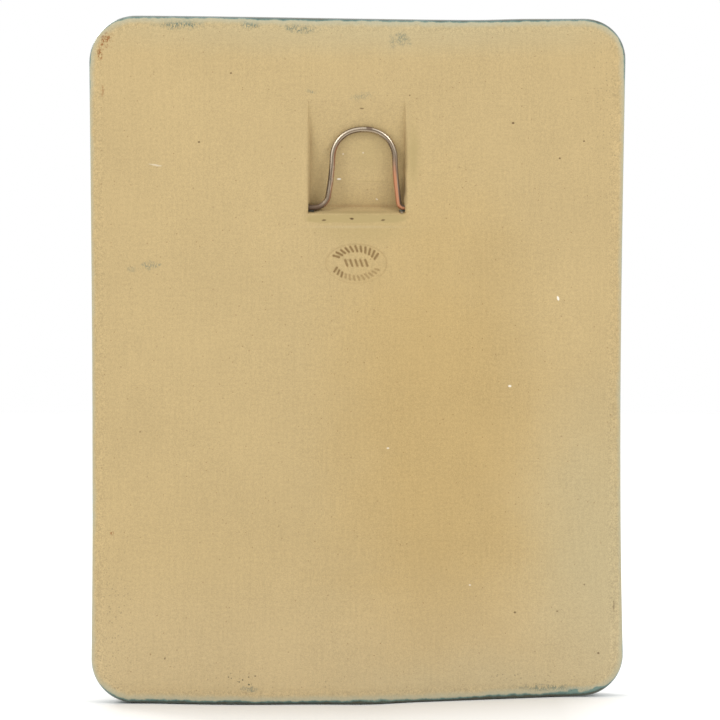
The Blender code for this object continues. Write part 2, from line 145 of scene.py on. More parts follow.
@dataclass(frozen=True)
class Slab:
    """The hand-pressed slab: its rounded outline and its section from back to front."""

    width: float = 0.1814
    height: float = 0.2306
    top: float = 0.0388
    corner_radius: float = 0.0143
    extra_radius: float = 0.0018
    inner_radius: float = 0.0070
    taper: float = 0.0014
    waist_left: float = 0.0008
    waist_right: float = 0.0015
    waist_low: float = 0.4
    top_sway: float = 0.00075
    top_dip: float = 0.00035
    bottom_sway: float = 0.00125
    bottom_belly: float = 0.0019
    bottom_lift: float = 0.0003
    sway_turn: float = 0.6
    foot_swell: float = 0.0005
    foot_swell_x: float = -0.005
    foot_swell_reach: float = 0.014
    foot_sag: float = 0.0002
    foot_sag_start: float = 0.012
    top_flare: float = 0.00045
    top_flare_start: float = 0.038
    corner_start: float = 0.022
    thickness: float = 0.0160
    margin_width: float = 0.0040
    margin_drop: float = 0.0004
    back_arris: float = 0.0018
    side_draft: float = 0.0008
    front_arris: float = 0.0026
    border_width: float = 0.0095
    border_slope: float = 0.0024
    field_sink: float = 0.0026
    arris_steps: int = 5
    side_steps: int = 3
    hand_wave: float = 0.00010

    @property
    def middle_z(self) -> float:
        """Height of the slab's middle."""
        return self.top - self.height / 2

    @property
    def rim_steps(self) -> int:
        """Steps round the edge, from the back's arris to the front's."""
        return 2 * self.arris_steps + self.side_steps

    def rim(self) -> Array:
        """Return the edge's section as rows of inset, depth and way round the edge."""
        rows = []
        for step in range(self.arris_steps + 1):
            angle = math.pi / 2 * step / self.arris_steps
            inset = self.back_arris * (1 - math.sin(angle))
            rows.append((inset, self.margin_drop + self.back_arris * (1 - math.cos(angle))))
        back_end = rows[-1]
        front = []
        for step in range(self.arris_steps + 1):
            angle = math.pi / 2 * step / self.arris_steps
            inset = self.side_draft + self.front_arris * (1 - math.cos(angle))
            front.append((inset, self.thickness - self.front_arris * (1 - math.sin(angle))))
        for step in range(1, self.side_steps):
            share = step / self.side_steps
            inset = between(back_end[0], front[0][0], share)
            rows.append((inset, between(back_end[1], front[0][1], share)))
        points = np.array(rows + front)
        lengths = np.hypot(*np.diff(points, axis=0).T)
        return np.column_stack([points, np.concatenate([[0.0], np.cumsum(lengths)])])

    def radii(self, x: Array, z: Array) -> Array:
        """Return the outline's corner radius in each point's own quarter."""
        return np.where((x > 0) & (z > 0), self.corner_radius + self.extra_radius, self.corner_radius)

    def rounded(self, across: Array, up: Array, inset: Array) -> tuple[Array, Array]:
        """Place shares of the half sizes on the rounded rectangle, drawn in by an inset.

        Args:
            across: Share of the half width, -1 to 1.
            up: Share of the half height, -1 to 1.
            inset: How far the rectangle is drawn in.

        Returns:
            x and z, measured from the rectangle's middle.
        """
        half_x = self.width / 2 - inset
        half_z = self.height / 2 - inset
        radius = np.maximum(self.radii(across, up) - inset, self.inner_radius)
        x = across * half_x
        z = up * half_z
        side = np.clip((np.abs(x) - half_x + radius) / radius, 0, 1)
        rise = np.clip((np.abs(z) - half_z + radius) / radius, 0, 1)
        x = x - np.sign(x) * radius * side * (1 - np.sqrt(1 - rise * rise / 2))
        z = z - np.sign(z) * radius * rise * (1 - np.sqrt(1 - side * side / 2))
        return x, z

    def inside(self, x: Array, z: Array, inset: float) -> Array:
        """Return how far a point lies inside the outline drawn in by an inset."""
        radius = np.maximum(self.radii(x, z) - inset, self.inner_radius)
        past_x = np.abs(x) - (self.width / 2 - inset - radius)
        past_z = np.abs(z) - (self.height / 2 - inset - radius)
        beyond = np.hypot(np.maximum(past_x, 0), np.maximum(past_z, 0))
        return radius - beyond - np.minimum(np.maximum(past_x, past_z), 0)

    def pressed(self, x: Array, z: Array) -> tuple[Array, Array]:
        """Move points of the true rectangle to where they lie on the hand-pressed slab."""
        across = 2 * x / self.width
        up = 2 * z / self.height
        waist = np.where(x > 0, self.waist_left, self.waist_right)
        waist = waist * (1 - up * up) * (1 - self.waist_low * up)
        sway = np.sin(self.sway_turn * math.pi * across)
        belly = np.cos(0.5 * math.pi * across)
        move_x = across * (self.taper / 4 * up - waist)
        flare = self.top_flare * smooth_share((-x - self.top_flare_start) / 0.02)
        move_z = (1 + up) / 2 * (self.top_sway * sway - self.top_dip * belly + flare)
        bow = self.bottom_sway * sway + self.bottom_belly * belly - self.bottom_lift
        bow = bow + self.foot_swell * bell(x, self.foot_swell_x, self.foot_swell_reach)
        bow = bow + self.foot_sag * smooth_share((-x - self.foot_sag_start) / 0.02)
        move_z = move_z - (1 - up) / 2 * bow
        calm = np.maximum.reduce([(np.abs(x) - 0.022) / 0.03, (z - 0.091) / 0.016, (0.021 - z) / 0.03])
        kept = smooth_share(calm)
        return x + kept * move_x, self.middle_z + z + kept * move_z

    def foot(self, x: Array) -> Array:
        """Return the height of the slab's lower edge, level past the start of its corners."""
        straight = self.width / 2 - self.corner_start
        held = np.clip(x, -straight, straight)
        return self.pressed(held, np.full_like(held, -self.height / 2))[1]

    def back_depth(self, x: Array, z: Array) -> Array:
        """Return how far the back lies below its plane: the soft margin and hand waves."""
        inset = self.inside(x, z, self.back_arris)
        margin = self.margin_drop * (1 - smooth_share(inset / self.margin_width))
        wave = np.sin(x / 0.0117 + 1.3 * np.sin(z / 0.021)) * np.sin(z / 0.0153 + 0.7)
        wave = wave + 0.6 * np.sin(x / 0.0061 - z / 0.0089 + 2.1)
        calm = smooth_share((inset - self.margin_width) / 0.006)
        return margin + self.hand_wave * calm * (1.6 + wave) / 3.2

    def front_fall(self, x: Array, z: Array) -> Array:
        """Return how far the front lies below its border's top: the sunk field."""
        inset = self.inside(x, z, self.side_draft + self.border_width)
        share = np.clip(inset / self.border_slope, 0, 1)
        return self.field_sink * (1 - np.cos(math.pi * share)) / 2


@dataclass(frozen=True)
class Pocket:
    """The wedge-shaped hanging pocket pressed into the back, and its bevelled lower lip."""

    width: float = 0.0329
    centre_x: float = 0.0003
    top: float = 0.0106
    height: float = 0.0356
    depth: float = 0.0078
    side_draft: float = 0.0003
    crease_radius: float = 0.0008
    lip_drop: float = 0.0027
    lip_depth: float = 0.0009
    bevel_height: float = 0.0036
    bevel_overhang: float = 0.0013
    mouth_radius: float = 0.0009
    lip_radius: float = 0.0004
    corner_radius: float = 0.0006
    arc_rows: int = 3
    bulge: float = 0.0006
    bulge_z: float = -0.0233
    bulge_reach: float = 0.0018
    lean: float = 0.0007
    lean_z: float = -0.0085
    lean_reach: float = 0.0095
    soft_draft: float = 0.0028
    floor_dents: float = 0.00007
    hole_radius: float = 0.0016
    hole_depth: float = 0.0070
    hinge_depth: float = 0.0034

    @property
    def crease(self) -> float:
        """Height of the pocket's deepest line."""
        return self.top - self.height

    @property
    def lip(self) -> float:
        """Height of the edge where the bottom wall meets the bevel."""
        return self.crease - self.lip_drop

    @property
    def rows(self) -> int:
        """Rows of faces down the pocket's walls."""
        return 3 * self.arc_rows

    def draft(self, x: Array, share: Array) -> Array:
        """Return how far a side wall's foot stands in, more on the side towards +X."""
        soft = np.where(x > self.centre_x, self.soft_draft, 0.0)
        return (self.side_draft + soft * share) * (1 - share)

    def floor(self, z: Array) -> Array:
        """Return how deep the floor lies at this height."""
        return self.depth * (self.top - z) / self.height

    def band(self, x: Array, z: Array) -> Array:
        """Return how deep the bevel below and beside the lip lies at a point."""
        down = np.clip((z - self.lip + self.bevel_height) / self.bevel_height, 0, 1)
        above = np.clip((self.lip + self.bevel_overhang - z) / self.bevel_overhang, 0, 1)
        across = self.width / 2 + self.bevel_overhang - np.abs(x - self.centre_x)
        side = smooth_share(across / (0.8 * self.bevel_overhang))
        soft = np.where(down < 0.25, 2 * down * down, down - 0.125)
        return self.lip_depth / 0.875 * np.minimum(soft, 0.875 * above) * side

    def wall_points(self, x: Array, z: Array, row: Array) -> Array:
        """Return points of the walls, between the mouth's edge and the floor.

        Args:
            x: Across, on the pocket's outline.
            z: Height, on the pocket's outline.
            row: Share of the way down the wall, 0 at the mouth and 1 on the floor.

        Returns:
            One row per point: x, z and depth.
        """
        half = self.width / 2
        at_side = np.abs(np.abs(x - self.centre_x) - half) < TINY
        side = np.where(at_side, np.sign(x - self.centre_x), 0.0)
        low = np.where(z < self.lip + TINY, 1.0, 0.0)
        share = np.clip((z - self.lip) / (self.top - self.lip), 0, 1)
        floor_z = self.crease + share * self.height
        swell = self.bulge * bell(z, self.bulge_z, self.bulge_reach) * (side < 0)
        swell = swell - self.lean * bell(z, self.lean_z, self.lean_reach) * (side < 0)
        edge = np.stack([x + swell, z, self.band(x, z)])
        narrow = 1 - self.draft(x, share) / half
        foot = np.stack([self.centre_x + (x - self.centre_x) * narrow, floor_z, self.floor(floor_z)])
        length = np.sqrt(((foot - edge) ** 2).sum(0)) + 1e-9
        down = (foot - edge) / length
        mouth = np.minimum(between(self.mouth_radius, self.lip_radius, low), 0.35 * length)
        crease = np.minimum(between(self.corner_radius, self.crease_radius, low), 0.35 * length)
        start = edge + np.stack([side * mouth, -low * mouth, np.zeros_like(x)])
        start[2] = self.band(start[0], start[1])
        below = edge + down * mouth
        above = foot - down * crease
        end = self.floor_points(x, z)
        turn = np.clip(row * 3, 0, 1)
        first = (1 - turn) ** 2 * start + 2 * turn * (1 - turn) * edge + turn**2 * below
        straight = between(below, above, np.clip(row * 3 - 1, 0, 1))
        turn = np.clip(row * 3 - 2, 0, 1)
        last = (1 - turn) ** 2 * above + 2 * turn * (1 - turn) * foot + turn**2 * end
        return np.where(row <= 1 / 3, first, np.where(row < 2 / 3, straight, last)).T

    def floor_points(self, x: Array, z: Array) -> Array:
        """Return points of the floor for lattice points of the pocket's outline or inside."""
        half = self.width / 2
        share = np.clip((z - self.lip) / (self.top - self.lip), 0, 1)
        floor_z = self.crease + share * self.height + self.crease_radius * (1 - share)
        crease = np.minimum(self.corner_radius, 0.35 * self.depth * (1 - share))
        narrow = (half - self.draft(x, share) - crease) / half
        floor_x = self.centre_x + (x - self.centre_x) * narrow
        dents = np.sin(floor_x / 0.0031 + 1) * np.sin(floor_z / 0.0043) - 1
        uneven = self.floor_dents * dents * share * (1 - share)
        return np.stack([floor_x, floor_z, self.floor(floor_z) + uneven])


@dataclass(frozen=True)
class LeafSpray:
    """The leaf spray on the front: a stem, pairs of leaves, a top leaf and berries."""

    foot_z: float = -0.1671
    spray_height: float = 0.1812
    stem_width: float = 0.0052
    stem_rise: float = 0.0017
    stem_sway: float = 0.0042
    stem_taper: float = 0.55
    stem_share: float = 0.80
    leaf_length: float = 0.062
    leaf_width: float = 0.0205
    leaf_rise: float = 0.0024
    edge_rise: float = 0.0010
    groove: float = 0.0007
    bow: float = 0.05
    pairs: int = 4
    first_pair: float = 0.16
    last_pair: float = 0.88
    stagger: float = 0.03
    shrink: float = 0.34
    low_angle: float = 58
    high_angle: float = 36
    top_shrink: float = 0.38
    berry_radius: float = 0.0032
    berry_stalk: float = 0.0175
    berry_angle: float = 68
    berry_gap: float = 0.67
    stalk_width: float = 0.0016
    softness: float = 0.0006

    def stem_point(self, share: float) -> tuple[float, float]:
        """Return x and z of the stem at this share of its way up."""
        z = self.foot_z + self.spray_height * self.stem_share * share
        return self.stem_sway * math.sin(1.6 * math.pi * share), z

    def pair_share(self, pair: float) -> float:
        """Return how far up the stem a leaf pair grows."""
        return self.first_pair + (self.last_pair - self.first_pair) / (self.pairs - 1) * pair

    def leaves(self) -> list[tuple[float, float, float, float, int]]:
        """Return each leaf's root x and z, its direction, its length and its side."""
        made = []
        for pair in range(self.pairs):
            share = self.pair_share(pair)
            length = self.leaf_length * (1 - self.shrink * share)
            lean = math.radians(between(self.low_angle, self.high_angle, share))
            for side in (-1, 1):
                root = self.stem_point(share + self.stagger * side)
                made.append((*root, math.pi / 2 - side * lean, length, side))
        tip = self.stem_point(1 - self.stagger)
        made.append((*tip, math.pi / 2, self.leaf_length * (1 - self.top_shrink), 1))
        return made

    def berries(self) -> list[tuple[float, float, float]]:
        """Return each berry stalk's root x and z, and its direction."""
        made = []
        for gap in range(self.pairs - 1):
            for side in (-1, 1):
                root = self.stem_point(self.pair_share(gap + self.berry_gap) + self.stagger * side)
                made.append((*root, math.pi / 2 - side * math.radians(self.berry_angle)))
        return made

    def edge(self, inner: Array) -> Array:
        """Return the soft edge of a form, from how far inside it a point lies."""
        return smooth_share(0.5 + inner / (2 * self.softness))

    def leaf(self, x: Array, z: Array, leaf: tuple[float, ...]) -> tuple[Array, Array, Array]:
        """Return one leaf's rise at points of the field.

        Args:
            x: Across.
            z: Height.
            leaf: Root x and z, direction, length and side.

        Returns:
            The rise, the share of the way along, and the share across from the midrib.
        """
        root_x, root_z, angle, length, side = leaf
        along, off = turned(x, z, root_x, root_z, angle)
        along = along / length
        held = np.clip(along, 0.02, 0.98)
        off = off - side * self.bow * length * np.sin(math.pi * np.clip(along, 0, 1))
        swell = np.sin(math.pi * held**0.85)
        half = self.leaf_width / 2 * length / self.leaf_length * swell
        across = off / half
        flat = np.clip(np.abs(across), 0, 1)
        dome = self.edge_rise + (self.leaf_rise - self.edge_rise) * (1 - flat * flat)
        rib = np.maximum(0, 1 - flat / 0.5)
        inner = np.minimum(half - np.abs(off), length * np.minimum(along - 0.01, 0.99 - along))
        edge = self.edge(inner)
        rise = (dome * np.sqrt(swell) - self.groove * rib * swell) * edge
        return rise, along, across

    def stem(self, x: Array, z: Array) -> Array:
        """Return the stem's rise at points of the field."""
        share = (z - self.foot_z) / (self.spray_height * self.stem_share)
        held = np.clip(share, 0, 1)
        narrow = 1 - self.stem_taper * held
        off = x - self.stem_sway * np.sin(1.6 * math.pi * held)
        half = self.stem_width / 2 * narrow
        across = np.clip(np.abs(off) / half, 0, 1)
        ends = self.spray_height * self.stem_share * np.minimum(share, 1 - share)
        edge = self.edge(np.minimum(half - np.abs(off), ends))
        return self.stem_rise * np.sqrt(narrow * (1 - 0.9 * across * across)) * edge

    def berry(self, x: Array, z: Array, berry: tuple[float, ...]) -> Array:
        """Return the rise of one berry and its stalk at points of the field."""
        root_x, root_z, angle = berry
        along, off = turned(x, z, root_x, root_z, angle)
        away = np.hypot(along - self.berry_stalk, off) / self.berry_radius
        ball = self.leaf_rise * np.sqrt(np.maximum(1 - away * away, 0))
        inner = np.minimum(self.stalk_width / 2 - np.abs(off), np.minimum(along, self.berry_stalk - along))
        stalk = self.stalk_width / 2 * self.edge(inner)
        return np.maximum(ball, stalk)

    def rise(self, x: Array, z: Array) -> tuple[Array, Array, Array, Array]:
        """Return the whole spray's rise and where each point lies on its leaf.

        Args:
            x: Across.
            z: Height.

        Returns:
            The rise off the field, the share along and across the leaf on top, and how
            surely the point is on a leaf.
        """
        top = self.stem(x, z)
        for berry in self.berries():
            top = np.maximum(top, self.berry(x, z, berry))
        along = np.zeros_like(x)
        across = np.zeros_like(x)
        on_leaf = np.zeros_like(x)
        for leaf in self.leaves():
            rise, leaf_along, leaf_across = self.leaf(x, z, leaf)
            above = rise > top
            along = np.where(above, leaf_along, along)
            across = np.where(above, leaf_across, across)
            on_leaf = np.where(above, smooth_share((1 - np.abs(leaf_across)) / 0.25), on_leaf)
            top = np.maximum(top, rise)
        return top, along, across, on_leaf


@dataclass(frozen=True)
class Stamp:
    """The oval stamped mark: a shallow dish with rows of plain strokes that aren't letters."""

    centre_x: float = 0.0004
    centre_z: float = -0.0446
    half_width: float = 0.0104
    half_height: float = 0.0067
    dish: float = 0.00030
    stroke_depth: float = 0.00036
    stroke_half_width: float = 0.00036
    outline: float = 0.22
    lean: float = 0.35
    seed: int = 5

    def strokes(self) -> list[tuple[float, float, float, float, float]]:
        """Return each stroke's middle x and z, its half length, its lean and its weight."""
        draw = np.random.default_rng(self.seed)
        made = []
        for turn in np.linspace(-0.95, 0.95, 11):
            x = self.centre_x + 0.0083 * math.sin(turn)
            z = self.centre_z - 0.0012 + 0.0062 * math.cos(turn)
            made.append((x, z, 0.00085 + 0.0002 * draw.random(), turn + self.lean, 1.0))
        for x in np.linspace(-0.0034, 0.0034, 5):
            made.append((self.centre_x + x, self.centre_z + 0.0002, 0.00105, self.lean, 0.9))
        for turn in np.linspace(-0.95, 0.95, 12):
            x = self.centre_x + 0.0086 * math.sin(turn)
            z = self.centre_z + 0.0019 - 0.0068 * math.cos(turn)
            weight = 1.0 if turn > 0.6 else 0.55
            made.append((x, z, 0.0006 + 0.0002 * draw.random(), self.lean - turn, weight))
        return made

    def press(self, x: Array, z: Array) -> tuple[Array, Array]:
        """Return the depth of the stamp at points of the back, and how far each is in a stroke."""
        away = np.hypot((x - self.centre_x) / self.half_width, (z - self.centre_z) / self.half_height)
        depth = self.dish * (1 - smooth_share((away - 0.94) / 0.07)) * (0.3 + 0.7 * np.clip(away, 0, 1) ** 6)
        stroke_mask = self.outline * bell(away, 0.99, 0.03)
        for middle_x, middle_z, half, lean, weight in self.strokes():
            along = (x - middle_x) * math.sin(lean) + (z - middle_z) * math.cos(lean)
            off = (x - middle_x) * math.cos(lean) - (z - middle_z) * math.sin(lean)
            beyond = np.hypot(np.maximum(np.abs(along) - half, 0), off)
            stroke_mask = np.maximum(stroke_mask, weight * smooth_share(1.5 - beyond / self.stroke_half_width))
        return depth + self.stroke_depth * stroke_mask, stroke_mask


class Tone(Enum):
    """What a placed mark on the bare back is made of, or the painted shade, shadow or highlight that it
    stands for.
    """

    PAINTED_SHADE_AND_CRACK = "umber_shade"
    PAINTED_SHADOW = "grime"
    GLAZE_SMEAR = "glaze_smear"
    SPECKLE = "speckle"
    RUST = "rust"
    PALE_FLECK_AND_HIGHLIGHT = "pale_fleck"
    DARK_PIT = "dark_pit"
    GOLD_STAIN = "gold_stain"
    GREY_BLOOM = "grey_bloom"


@dataclass(frozen=True)
class Mark:
    """One mark in its place on the back; sizes in millimetres, turn in degrees."""

    x: float
    z: float
    half_width: float
    half_height: float
    strength: float
    turn: float
    softness: float
    ragged: float


MARKS: dict[Tone, list[tuple[float, ...]]] = {
    # Painted shade beside the pocket's right wall, over the bevel below the lip, along the lip and inside
    # the loop, and a broad darker patch below the lip; one row is a crack line on the pocket floor.
    Tone.PAINTED_SHADE_AND_CRACK: [
        (-19, -8, 2.2, 11, 0.8, 0, 0.9, 0.3),
        (-2.5, -33.5, 17, 4.6, 0.5, 0, 0.9, 0.4),
        (0.4, -29.4, 13.5, 1.75, 0.95, 0, 0.35, 0.12),
        (11, -29.4, 7.2, 1.7, 0.95, 0, 0.35, 0.12),
        (-10.2, -29.4, 7.2, 1.7, 0.95, 0, 0.35, 0.12),
        (0, -27.2, 16.4, 0.7, 0.85, 0, 0.8, 0.3),
        (-4, -16.5, 8.6, 0.22, 0.6, 1, 0.8, 0.5),
        (-3.8, -7, 6.5, 7, 0.4, 0, 0.9, 0.3),
    ],
    # Painted shadow in the gap between the wire's right leg and the pocket wall, round the right pivot hole,
    # and above and below the wire's left foot.
    Tone.PAINTED_SHADOW: [
        (-15.6, -21, 1.35, 5.6, 0.6, 0, 0.8, 0.3),
        (-15, -26.9, 1, 1.2, 0.65, 0, 0.6, 0.3),
        (14.9, -24.2, 1.9, 0.5, 0.35, 0, 0.7, 0.3),
        (15, -26.9, 1.8, 0.45, 0.6, 0, 0.7, 0.3),
    ],
    Tone.GLAZE_SMEAR: [
        (60, 36.3, 8, 1.5, 0.95, 0, 0.8, 0.9),
        (36.3, 36.2, 3.4, 1.3, 0.85, 0, 0.8, 0.8),
        (19.4, 34.8, 5.5, 1.5, 0.8, 5, 0.8, 0.8),
        (-15, 31.6, 2.3, 2.3, 0.7, 8, 0.8, 0.8),
        (-11.8, 30.4, 1, 2.4, 0.5, -6, 0.8, 0.8),
        (-17.6, 30.2, 0.8, 1.6, 0.45, 0, 0.8, 0.8),
        (70.3, -45.2, 3.2, 1.3, 0.65, -6, 0.9, 0.9),
        (76.5, -46.5, 1.6, 1, 0.4, 0, 0.9, 0.8),
        (-1.5, 12, 3.4, 1.2, 0.45, -12, 0.9, 0.9),
        (15.7, 13.6, 1.8, 0.6, 0.5, 20, 0.8, 0.7),
        (36.6, -188.6, 3, 0.9, 0.6, 0, 0.8, 1.2),
        (-68, -188.6, 13, 1.3, 0.85, 2, 0.8, 0.9),
    ],
    Tone.SPECKLE: [
        (38, -185.6, 10.5, 3, 1, 6, 0.8, 1.2),
        (10, -186.6, 6, 1.6, 0.5, 0, 0.9, 1.2),
        (-84, 10, 5, 40, 0.35, 0, 0.9, 0.6),
        (82, -165, 8, 30, 0.4, 0, 0.9, 0.6),
        (-60, -184.5, 20, 2.6, 0.45, 2, 0.9, 1),
    ],
    Tone.RUST: [
        (85.2, 31.4, 2, 2.8, 1, 18, 0.8, 1.2),
        (87.2, 26.2, 1, 2.6, 0.95, 0, 0.8, 1.1),
        (86.3, 14, 0.7, 1.8, 0.5, 0, 0.7, 0.7),
        (83, -135.7, 0.7, 0.7, 0.85, 0, 0.6, 0.5),
    ],
    Tone.PALE_FLECK_AND_HIGHLIGHT: [
        (-67.8, -56.3, 0.42, 0.85, 0.95, -15, 0.35, 0.2),
        (-51.5, -86, 0.6, 0.4, 0.85, 0, 0.4, 0.2),
        (-10.3, -107, 0.5, 0.3, 0.6, 0, 0.4, 0.2),
        (-38, -153.3, 0.4, 0.3, 0.55, 0, 0.4, 0.2),
        (68.3, -11.3, 2.2, 0.35, 0.35, 8, 0.7, 0.5),
        (6.3, -15.7, 0.75, 0.32, 0.9, 0, 0.35, 0.2),
        (-15, -26.8, 0.5, 0.7, 0.4, 0, 0.4, 0.2),
        (4.9, -7.3, 0.3, 0.3, 0.45, 0, 0.5, 0.2),
        (-1.9, -6.9, 0.3, 0.3, 0.4, 0, 0.5, 0.2),
        (-6.6, -22.5, 0.5, 0.25, 0.5, 30, 0.5, 0.3),
        # Painted highlight: a faint light line along the bevel's lower ridge.
        (0.3, -32.2, 17.5, 0.5, 0.05, 0, 0.9, 0.3),
    ],
    Tone.DARK_PIT: [
        (-17.7, 12.3, 0.3, 0.25, 0.8, 0, 0.5, 0.2),
        (-52.6, 2.9, 0.5, 0.35, 0.9, 0, 0.5, 0.2),
        (-68.4, -9, 0.4, 0.35, 0.8, 0, 0.5, 0.2),
        (-76.6, -3.2, 0.4, 0.3, 0.8, 0, 0.5, 0.2),
        (53.6, -3.5, 0.45, 0.35, 0.8, 0, 0.5, 0.2),
        (42.8, 19.8, 0.4, 0.35, 0.8, 0, 0.5, 0.2),
        (65.1, -178.1, 0.22, 0.45, 0.85, 12, 0.5, 0.2),
        (73.5, -101.5, 0.35, 0.3, 0.5, 0, 0.5, 0.2),
        (-53.2, -162.5, 0.45, 0.4, 0.75, 0, 0.5, 0.2),
        (-81.4, -176.3, 0.45, 0.4, 0.75, 0, 0.5, 0.2),
        (-67.5, -162.1, 0.4, 0.35, 0.6, 0, 0.5, 0.2),
        (-76.7, -153.1, 0.35, 0.35, 0.6, 0, 0.5, 0.2),
        (-86.7, -160.3, 0.4, 2.4, 0.5, 0, 0.8, 1.2),
        (11.3, -29.9, 0.8, 0.35, 0.8, -8, 0.6, 0.3),
        (2, -29.4, 0.75, 0.4, 1, 10, 0.6, 0.3),
        (-8.6, -29.9, 0.8, 0.35, 0.8, -10, 0.6, 0.3),
        (-1.5, 7.9, 0.8, 0.3, 0.7, 0, 0.6, 0.3),
    ],
    Tone.GOLD_STAIN: [
        (-27, -98, 38, 88, 1, 0, 0.75, 0.18),
        (-19.4, -153, 30, 8, 0.8, 3, 0.9, 0.3),
    ],
    Tone.GREY_BLOOM: [
        (-84, -150, 26, 60, 1, 0, 0.9, 0.2),
        (-10, 34, 95, 8, 0.8, 0, 0.9, 0.2),
        (-60, -190, 60, 14, 0.7, 0, 0.9, 0.2),
    ],
}


class Wiring:
    """Adds shader nodes to one tree and joins them."""

    def __init__(self, tree: bpy.types.NodeTree) -> None:
        """Start on a node tree."""
        self.tree = tree
        self.count = 0

    def feed(self, node: bpy.types.Node, inputs: dict) -> None:
        """Set or join a node's inputs, by name or number."""
        for key, value in inputs.items():
            if isinstance(value, bpy.types.NodeSocket):
                self.tree.links.new(value, node.inputs[key])
            else:
                node.inputs[key].default_value = value

    def node(self, kind: str, inputs: dict | None = None, **settings: object) -> bpy.types.Node:
        """Add a node.

        Args:
            kind: The node's type name.
            inputs: Values or sockets for its inputs, by name or number.
            settings: The node's own options.

        Returns:
            The new node.
        """
        made = self.tree.nodes.new(kind)
        made.location = (200 * (self.count % 12), -220 * (self.count // 12))
        self.count += 1
        for name, value in settings.items():
            setattr(made, name, value)
        self.feed(made, inputs or {})
        return made

    def math(self, operation: str, first: Socket | float, *others: Socket | float) -> Socket:
        """Return the result of an operation, taken from term to term."""
        for other in others or (0.0,):
            first = self.node("ShaderNodeMath", {0: first, 1: other}, operation=operation).outputs[0]
        return first

    def times(self, *terms: Socket | float) -> Socket:
        """Return the product of the terms."""
        return self.math("MULTIPLY", *terms)

    def plus(self, *terms: Socket | float) -> Socket:
        """Return the sum of the terms."""
        return self.math("ADD", *terms)

    def minus(self, *terms: Socket | float) -> Socket:
        """Return the first term less the others."""
        return self.math("SUBTRACT", *terms)

    def most(self, *terms: Socket | float) -> Socket:
        """Return the largest of the terms."""
        return self.math("MAXIMUM", *terms)

    def size(self, value: Socket) -> Socket:
        """Return a value without its sign."""
        return self.math("ABSOLUTE", value)

    def vector(self, operation: str, inputs: dict, output: int = 0) -> Socket:
        """Return the result of one vector operation."""
        return self.node("ShaderNodeVectorMath", inputs, operation=operation).outputs[output]

    def blend(self, share: Socket | float, first: Socket | Colour, second: Socket | Colour) -> Socket:
        """Return a colour mixed from two."""
        ends = [c if isinstance(c, bpy.types.NodeSocket) else (*c, 1.0) for c in (first, second)]
        mixed = self.node("ShaderNodeMix", {0: share, 6: ends[0], 7: ends[1]}, data_type="RGBA")
        return mixed.outputs[2]

    def ramp(
        self,
        value: Socket,
        low: Socket | float,
        high: Socket | float,
        start: Socket | float = 0.0,
        end: Socket | float = 1.0,
    ) -> Socket:
        """Return a smooth rise from start to end as the value goes from low to high."""
        inputs = {0: value, 1: low, 2: high, 3: start, 4: end}
        return self.node("ShaderNodeMapRange", inputs, interpolation_type="SMOOTHSTEP").outputs[0]

    def noise(
        self, place: Socket, scale: Socket | float, detail: float, rough: float = 0.5, output: str = "Fac"
    ) -> Socket:
        """Return noise at this scale."""
        inputs = {"Vector": place, "Scale": scale, "Detail": detail, "Roughness": rough}
        return self.node("ShaderNodeTexNoise", inputs).outputs[output]

    def drawn(self, place: Socket, scale: tuple[int, int, int], detail: float, rough: float) -> Socket:
        """Return noise that is drawn out, with a scale for each axis."""
        stretched = self.node("ShaderNodeMapping", {"Vector": place, "Scale": scale}).outputs[0]
        return self.noise(stretched, 1.0, detail, rough)

    def dots(self, place: Socket, scale: Socket | float, near: float, far: float) -> tuple:
        """Return the mask of a round dot in each cell, and a chance value for each cell."""
        cells = self.node("ShaderNodeTexVoronoi", {"Vector": place, "Scale": scale}).outputs
        chance = self.node("ShaderNodeSeparateColor", {0: cells["Color"]}).outputs[0]
        return self.ramp(cells["Distance"], near, far, 1.0, 0.0), chance

    def attribute(self, name: str) -> Socket:
        """Return a value kept on the piece's own vertices."""
        return self.node("ShaderNodeAttribute", attribute_name=name).outputs["Fac"]

    def place(self) -> tuple[Socket, list[Socket]]:
        """Return the object coordinates, together and one by one."""
        place = self.node("ShaderNodeTexCoord").outputs["Object"]
        return place, list(self.node("ShaderNodeSeparateXYZ", {0: place}).outputs)


def new_group(name: str, takes: dict[str, str], gives: dict[str, str]) -> tuple:
    """Start a shader node group.

    Args:
        name: The group's name.
        takes: Each input's socket type, by name.
        gives: Each output's socket type, by name.

    Returns:
        The tree, its wiring, its inputs' sockets and its output node.
    """
    tree = bpy.data.node_groups.new(name, "ShaderNodeTree")
    for way, sockets in (("INPUT", takes), ("OUTPUT", gives)):
        for label, kind in sockets.items():
            tree.interface.new_socket(label, in_out=way, socket_type=kind)
    wires = Wiring(tree)
    return tree, wires, wires.node("NodeGroupInput").outputs, wires.node("NodeGroupOutput")


def mark_group() -> bpy.types.NodeTree:
    """Build the group that adds one placed, ragged spot to a mask."""
    takes = dict.fromkeys(("Place", "Wobble", "Centre", "Half Size"), VECTOR)
    takes |= dict.fromkeys(("Turn", "Softness", "Ragged", "Strength", "Before"), NUMBER)
    tree, wires, given, out = new_group("placed_mark", takes, {"Mask": NUMBER})
    away = wires.vector("SUBTRACT", {0: given["Place"], 1: given["Centre"]})
    turn = {"Vector": away, "Angle": given["Turn"]}
    turned_back = wires.node("ShaderNodeVectorRotate", turn, rotation_type="Y_AXIS").outputs[0]
    shares = wires.vector("DIVIDE", {0: turned_back, 1: given["Half Size"]})
    wobble = wires.vector("SCALE", {0: given["Wobble"], "Scale": given["Ragged"]})
    length = wires.vector("LENGTH", {0: wires.vector("ADD", {0: shares, 1: wobble})}, 1)
    inner = wires.minus(1.0, given["Softness"])
    outer = wires.plus(1.0, wires.times(given["Softness"], 0.5))
    spot = wires.ramp(length, inner, outer, given["Strength"], 0.0)
    wires.feed(out, {"Mask": wires.most(spot, given["Before"])})
    return tree


